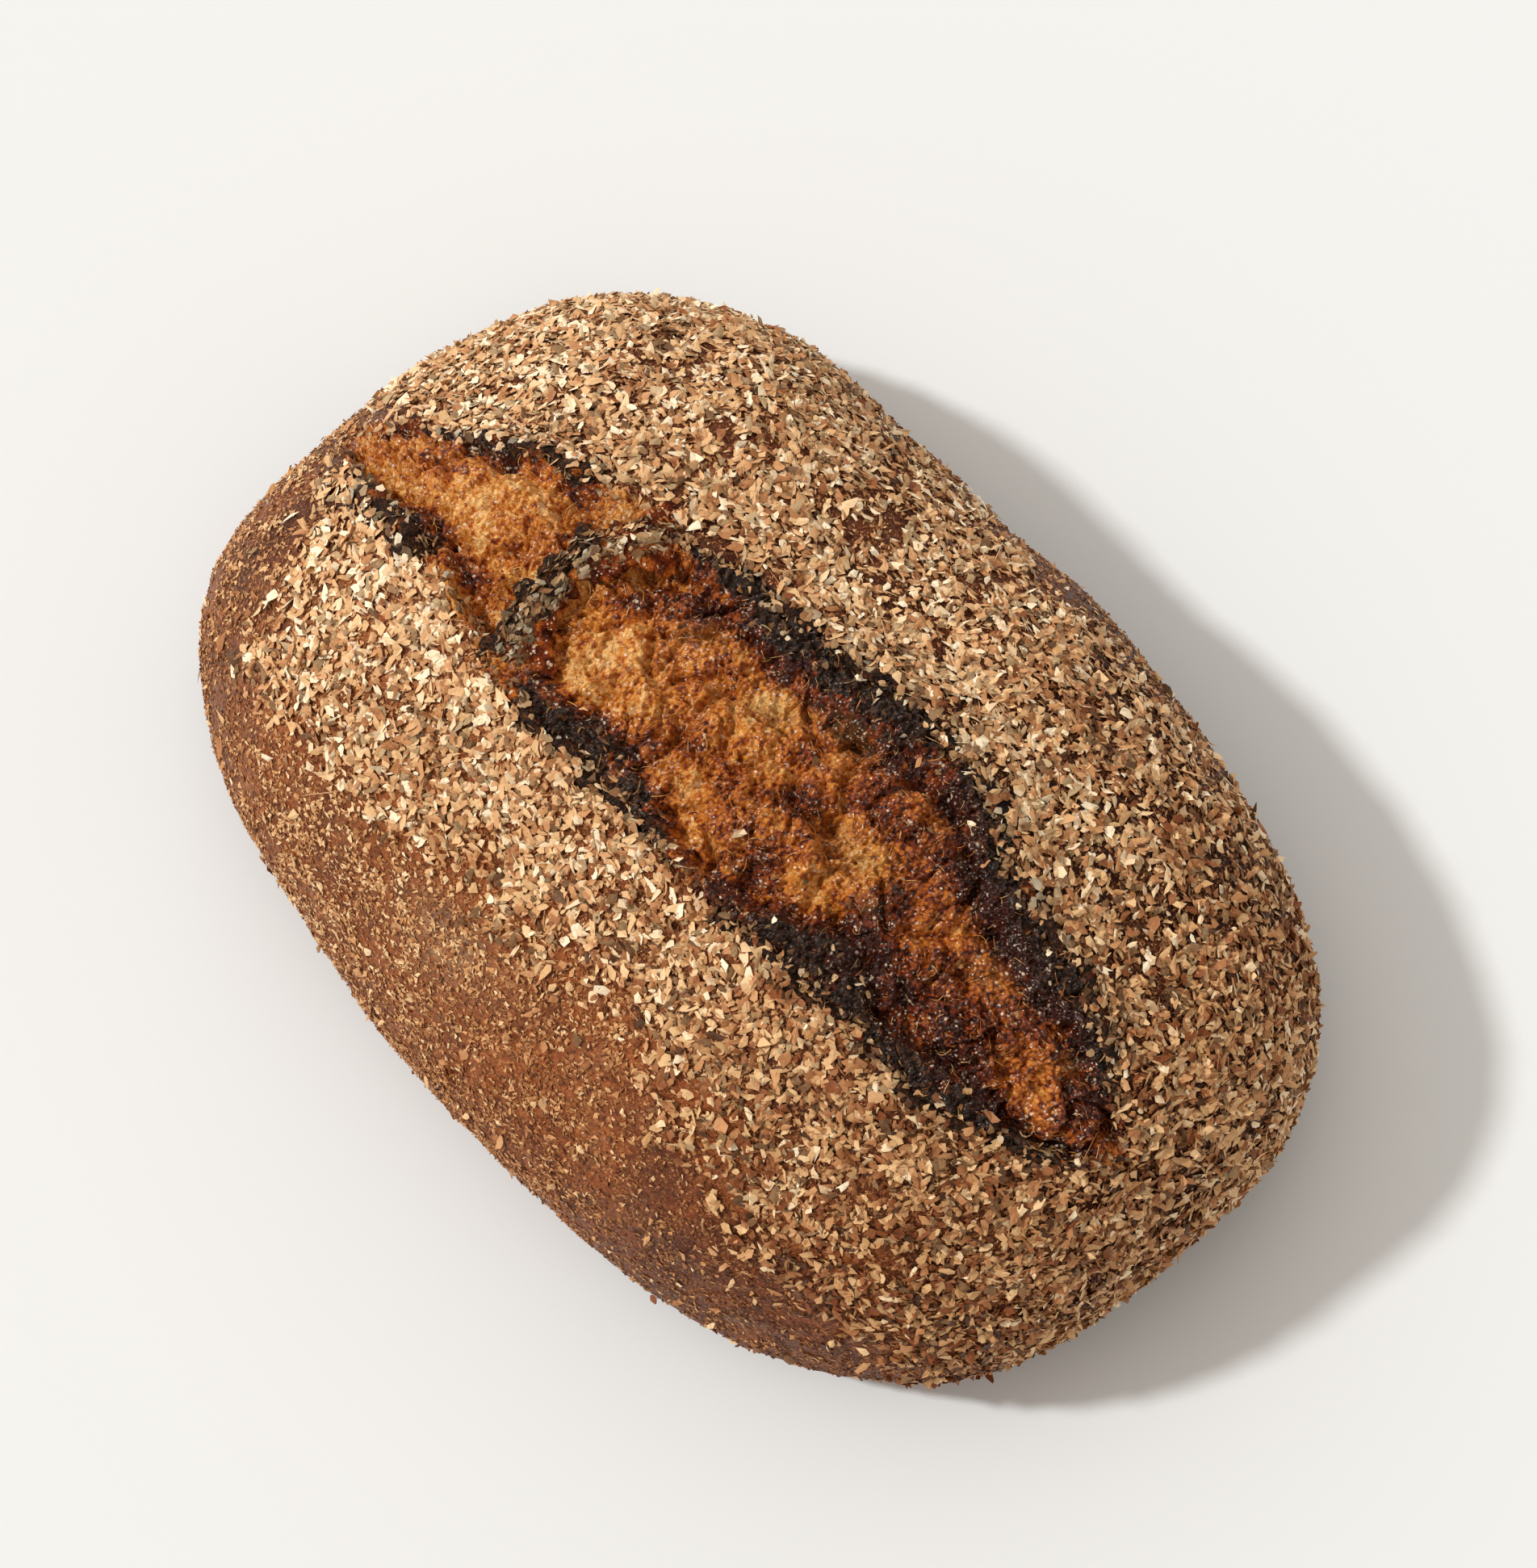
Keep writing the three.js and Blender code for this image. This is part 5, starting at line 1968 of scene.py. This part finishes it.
@dataclass
class BranCoat:
    """Coarse bran over the crust, thinning out on the bare flank and beside the split."""

    form: LoafForm
    crust: Surface
    crumb: TornCrumb
    strap: Surface
    lips: list[Surface]
    seed: int = 20
    low_line: float = -53.5
    high_line: float = 77.0
    flake_count: int = 26000
    fines_count: int = 12000
    speck_count: int = 23500
    husk_count: int = 18500
    straw_count: int = 90
    stray_count: int = 1500
    flake_corners: int = 7
    chip_corners: int = 4
    flakes: FlakeCut = FlakeCut((0.50, 1.66), 0.40, 0.90, (1.0, 1.9))
    fines: FlakeCut = FlakeCut((0.22, 0.62), 0.40, 0.30, (1.0, 2.6))
    straws: FlakeCut = FlakeCut((0.55, 0.95), 0.15, 0.60, (6.0, 14.0))
    specks: FlakeCut = FlakeCut((0.22, 0.72), 0.28, 0.10, (1.0, 1.7))
    husks: FlakeCut = FlakeCut((0.28, 1.00), 0.30, 0.15, (1.0, 1.55))
    strays: FlakeCut = FlakeCut((0.60, 1.40), 0.35, 0.30)
    least_cover: float = 0.012
    bare_foot: float = 12.0
    upright_share: float = 0.16
    upright_tip: float = 0.7
    tone_mean: float = 0.66
    tone_spread: float = 0.29

    def cover(self, x: Array, y: Array, points: Array) -> Array:
        """How dense the coat is, from 0 for bare crust to about 1.

        Args:
            x: Places along the loaf.
            y: Places across it.
            points: The same places in space, for the noise.

        Returns:
            Density at each place.
        """
        form = self.form
        broad, small = noise(points, 17.0, 121), noise(points, 6.0, 122)
        low, high = form.torn_edge(1, x), form.torn_edge(4, x)
        open_split = (x > form.first_tip) & (x < form.last_tip)
        gap = np.where(open_split, np.maximum(low - y, y - high), 9.0)
        density = ease(-1.2, 3.2, gap + 1.4 * small)
        line = self.low_line - 10.0 * bell(x, 64.0, 25.0) - 3.0 * bell(x, -62.0, 26.0)
        line = line + 4.5 * broad + 3.0 * small + 2.5 * ease(-25.0, 20.0, x)
        density *= ease(line - 13.0, line + 4.0, y) ** 1.8
        end = mix(-106.0, -128.0, ease(-8.0, 18.0, y + 6.0 * broad + 5.0 * small))
        end += 10.0 * ease(-20.0, -45.0, y)
        density *= ease(end - 4.0, end + 7.0, x + 3.0 * broad + 2.0 * small)
        upper = mix(84.0, self.high_line, ease(-60.0, 0.0, x)) + 4.0 * broad + 3.0 * small
        density *= 1.0 - ease(upper - 9.0, upper + 4.0, y)
        for patch in THIN_PATCHES:
            density *= 1.0 - patch.amount * patch.bell_at(x, y)
        worn = mix(0.55, 0.72, ease(0.0, 45.0, y))
        worn *= ease(-0.05, -0.5, noise(points, 8.0, 124))
        density = density * (1.0 - worn) * np.clip(0.9 + 0.4 * broad, 0.4, 1.1)
        return density + self.least_cover * (points[:, 2] > self.bare_foot)

    def batch(self, rng: Draws, places: Array, normals: Array, cut: FlakeCut) -> FlakeBatch:
        """Draws the sizes, tips and tones of the flakes at given places.

        Args:
            rng: Source of the random numbers.
            places: Points on the surface.
            normals: Outward directions there.
            cut: The kind's sizes.

        Returns:
            The batch.
        """
        count = len(places)
        least, greatest = cut.radius
        size = least + (greatest - least) * rng.beta(1.7, 2.6, count)
        stand = rng.random(count) < self.upright_share
        tips = cut.tilt * rng.uniform(0.4, 1.4, count) + self.upright_tip * stand
        x, y = places[:, 0], places[:, 1]
        scorch = burnt_share(self.form, x, y) * rng.uniform(0.1, 0.95, count) ** 1.3
        tone = rng.normal(self.tone_mean, self.tone_spread, count)
        tone += 0.15 * noise(places, 12.0, 131)
        # Darker towards +X and -Y, and on the +Y flank towards +X: painted shade where the loaf
        # turns from the light
        tone -= 0.33 * ease(0.0, 80.0, x - 0.8 * y)
        tone -= 0.24 * ease(5.0, 40.0, x) * bell(y, 60.0, 9.0)
        tone += 0.08 * bell(x, 0.0, 18.0) * bell(y, 54.0, 14.0)
        for drift in FLAKE_DRIFTS:
            tone += drift.at(x, y)
        tone = np.clip(tone, 0.0, 1.0)
        return FlakeBatch(
            places=places,
            normals=normals,
            radius=size,
            aspect=rng.uniform(*cut.aspect, count),
            tilt=tips,
            lift=0.15 + cut.pile * rng.random(count),
            thickness=0.22 + 0.16 * rng.random(count),
            tone=tone,
            scorch=scorch,
        )

    def build(self) -> list[Object]:
        """Makes the coat, one piece for each kind of bran.

        Returns:
            The pieces.
        """
        rng = np.random.default_rng(self.seed)
        p = self.crust.points
        x, y = p[..., 0], p[..., 1]
        density = self.cover(x.ravel(), y.ravel(), p.reshape(-1, 3)).reshape(x.shape)
        pieces = []
        shares = ((BranTone.PALE, 0.38), (BranTone.TOASTED, 0.45), (BranTone.DUSKY, 0.17))
        for tone, share in shares:
            places, normals = self.crust.scatter(int(share * self.flake_count), density, rng)
            batch = self.batch(rng, places, normals, self.flakes)
            extra = self.strays_on_split(rng, int(share * self.stray_count))
            name = "bran_flakes_" + tone.name.lower()
            joined = FlakeBatch.join([batch, extra])
            pieces.append(flake_mesh(name, joined, self.flake_corners, BranFinish(tone), rng))
        clear_of_split = burnt_share(self.form, x.ravel(), y.ravel()).reshape(x.shape) < 0.5
        places, normals = self.crust.scatter(self.fines_count, density * clear_of_split, rng)
        fines = self.batch(rng, places, normals, self.fines)
        on_top = (density + 0.12) * (self.crust.normals[..., 2] > 0.6)
        straws_at, straws_up = self.crust.scatter(self.straw_count, on_top, rng)
        straws = self.batch(rng, straws_at, straws_up, self.straws)
        fines = FlakeBatch.join([fines, straws])
        pieces.append(self.chips("bran_fines", fines, BranTone.FINES, rng))
        drift = 0.6 + 0.6 * noise(p.reshape(-1, 3), 9.0, 132).reshape(x.shape)
        bare = np.clip(drift, 0.08, 1.0) * (1.0 - 0.75 * np.clip(density, 0, 1)) * clear_of_split
        # Fewer pale specks on the low flank towards +X darken it: painted shade where the loaf
        # turns from the light
        bare = bare * (p[..., 2] > 4.0) * (1.0 - 0.5 * ease(15.0, 50.0, x) * (y < -50.0))
        places, normals = self.crust.scatter(self.speck_count, bare, rng)
        specks = self.batch(rng, places, normals, self.specks)
        specks.tone = np.clip(specks.tone - 0.16, 0.0, 1.0)
        pieces.append(self.chips("crust_specks", specks, BranTone.SPECKS, rng))
        clumps = ease(-0.1, 0.35, noise(p.reshape(-1, 3), 5.0, 133)).reshape(x.shape)
        flecked = bare * (0.25 + (y < 0)) * (0.4 + clumps)
        # Fewer husks on the low flank towards +X: the same painted shade
        flecked *= 1.0 - 0.55 * ease(15.0, 50.0, x) * (y < -50.0)
        flecked *= 1.0 - 0.55 * ease(-50.0, -85.0, x)
        places, normals = self.crust.scatter(self.husk_count, flecked, rng)
        husks = self.batch(rng, places, normals, self.husks)
        ashy = 0.14 * ease(-50.0, -85.0, husks.places[:, 0])
        husks.tone = np.clip(husks.tone - 0.10 - ashy, 0.0, 1.0)
        pieces.append(self.chips("crust_husks", husks, BranTone.HUSKS, rng))
        return pieces

    def chips(self, name: str, batch: FlakeBatch, tone: BranTone, rng: Draws) -> Object:
        """Mesh of small chips with few corners."""
        return flake_mesh(name, batch, self.chip_corners, BranFinish(tone), rng)

    def strays_on_split(self, rng: Draws, count: int) -> FlakeBatch:
        """Flakes that lie on the burnt rims, the crumb and the strap.

        Args:
            rng: Source of the random numbers.
            count: Count of flakes.

        Returns:
            The batch.
        """
        on_rim = self.crumb.outer + 0.10 * self.crumb.char + 0.004
        on_rim *= self.crumb.surface.normals[..., 2] > 0.3
        found = [self.crumb.surface.scatter(int(0.75 * count), on_rim, rng)]
        weight = (self.strap.normals[..., 2] > 0.3).astype(float)
        found.append(self.strap.scatter(int(0.22 * count), weight, rng))
        for lip in self.lips:
            share = 0.0010 * count * len(lip.points)
            weight = (lip.normals[..., 2] > 0.3) * np.linspace(1.6, 0.1, lip.points.shape[1])
            found.append(lip.scatter(int(share), weight, rng))
        places = np.concatenate([pair[0] for pair in found])
        normals = np.concatenate([pair[1] for pair in found])
        batch = self.batch(rng, places, normals, self.strays)
        x, y = places[:, 0], places[:, 1]
        on_strap = (np.abs(x - self.form.strap_line(y)) < 9.0) & (y < 9.0)
        batch.scorch = np.where(on_strap, 0.55, 1.0) * rng.uniform(0.0, 0.85, len(places)) ** 1.6
        batch.scorch = batch.scorch + 0.4 * on_strap
        return batch


@dataclass
class PhotoCamera:
    """Camera at the photograph's viewing angle, over a frame of 1904 by 1942 pixels."""

    azimuth: float = 46.5
    elevation: float = 78.5
    distance: float = 1000.0
    focal_pixels: float = 5880.0
    frame_height: float = 1942.0
    sensor: float = 36.0
    target: tuple[float, float, float] = (-4.2, 8.4, 30.0)

    def axes(self) -> tuple[Vector, Vector, Vector]:
        """Directions of the picture's right, the picture's top and back to the camera."""
        turn, tip = math.radians(self.azimuth), math.radians(self.elevation)
        back = Vector(
            (math.sin(turn) * math.cos(tip), -math.cos(turn) * math.cos(tip), math.sin(tip))
        )
        right = Vector((math.cos(turn), math.sin(turn), 0.0))
        return right, back.cross(right), back

    def build(self) -> Object:
        """Makes the camera and sets it as the scene's.

        Returns:
            The camera.
        """
        right, up, back = self.axes()
        data = bpy.data.cameras.new("photo_camera")
        data.sensor_width = self.sensor
        data.lens = self.focal_pixels / self.frame_height * self.sensor
        data.clip_start = 0.01
        camera = bpy.data.objects.new("photo_camera", data)
        turn = Matrix((right, up, back)).transposed().to_4x4()
        turn.translation = Vector(self.target) * MM + back * self.distance * MM
        camera.matrix_world = turn
        link_to_scene(camera)
        bpy.context.scene.camera = camera
        return camera


@dataclass
class Studio:
    """Pale floor, one soft key light from the picture's left and an even warm fill."""

    camera: PhotoCamera
    key_strength: float = 2.1
    key_elevation: float = 46.0
    key_up_share: float = 0.15
    key_softness: float = 5.0
    glow_strength: float = 0.68
    glow_elevation: float = 42.0
    glow_softness: float = 80.0
    fill_strength: float = 0.545
    glow_left_share: float = 0.5
    light_colour: Colour = (1.0, 0.985, 0.955)
    fill_colour: Colour = (1.0, 0.885, 0.775)
    floor_colour: Colour = (0.79, 0.827, 0.856)
    floor_size: float = 6.0

    def lamp(
        self, name: str, strength: float, side: Vector, elevation: float, softness: float
    ) -> None:
        """Adds one far light.

        Args:
            name: Name of the light.
            strength: Strength on a face that looks at it.
            side: Direction towards the light, its height left out.
            elevation: Height of the light in degrees.
            softness: Width of the light in degrees.
        """
        level = Vector((side.x, side.y, 0.0)).normalized()
        tip = math.radians(elevation)
        towards = level * math.cos(tip) + Vector((0.0, 0.0, math.sin(tip)))
        data = bpy.data.lights.new(name, "SUN")
        data.energy = strength
        data.angle = math.radians(softness)
        data.color = self.light_colour
        light = bpy.data.objects.new(name, data)
        light.rotation_euler = towards.to_track_quat("Z", "Y").to_euler()
        link_to_scene(light)

    def build(self) -> None:
        """Makes the floor, the key light, the glow from the picture's top and the fill."""
        right, up, _ = self.camera.axes()
        key_side = up * self.key_up_share - right
        self.lamp("key_light", self.key_strength, key_side, self.key_elevation, self.key_softness)
        glow_side = up - right * self.glow_left_share
        self.lamp("glow", self.glow_strength, glow_side, self.glow_elevation, self.glow_softness)

        world = bpy.data.worlds.new("fill")
        world.use_nodes = True
        sky = world.node_tree.nodes["Background"]
        set_inputs(sky, Color=(*self.fill_colour, 1.0), Strength=self.fill_strength)
        bpy.context.scene.world = world
        bpy.context.scene.view_settings.view_transform = "Standard"

        half = self.floor_size / 2
        mesh = bpy.data.meshes.new("floor")
        corners = [(-half, -half, 0.0), (half, -half, 0.0), (half, half, 0.0), (-half, half, 0.0)]
        mesh.from_pydata(corners, [], [(0, 1, 2, 3)])
        floor = bpy.data.objects.new("floor", mesh)
        bench = Bench("pale_floor")
        bench.set(Roughness=0.6, Specular_IOR_Level=0.2, Base_Color=(*self.floor_colour, 1.0))
        mesh.materials.append(bench.material)
        link_to_scene(floor)


def carry(piece: Object) -> None:
    """Lets a piece ride on the loaf's body and stand for its node, and logs its triangle count.

    Args:
        piece: The piece.
    """
    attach(piece, "root")
    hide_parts("loaf")
    triangles = sum(len(polygon.vertices) - 2 for polygon in piece.data.polygons)
    LOG.info("%s: %d triangles", piece.name, triangles)


def main() -> None:
    """Builds the camera, the studio and every piece of the loaf in order."""
    logging.basicConfig(level=logging.INFO, format="%(name)s %(message)s")
    camera = PhotoCamera()
    camera.build()
    Studio(camera).build()
    crust = CrustShell(FORM)
    carry(crust.build())
    crumb = TornCrumb(FORM)
    for piece in crumb.build():
        carry(piece)
    strap = CrustStrap(FORM)
    carry(strap.build())
    lips = CurledLips(FORM)
    carry(lips.build())
    carry(CrumbFibres(crumb).build())
    coat = BranCoat(FORM, crust.surface, crumb, strap.surface, lips.surfaces)
    for piece in coat.build():
        carry(piece)


if __name__ == "__main__":
    main()
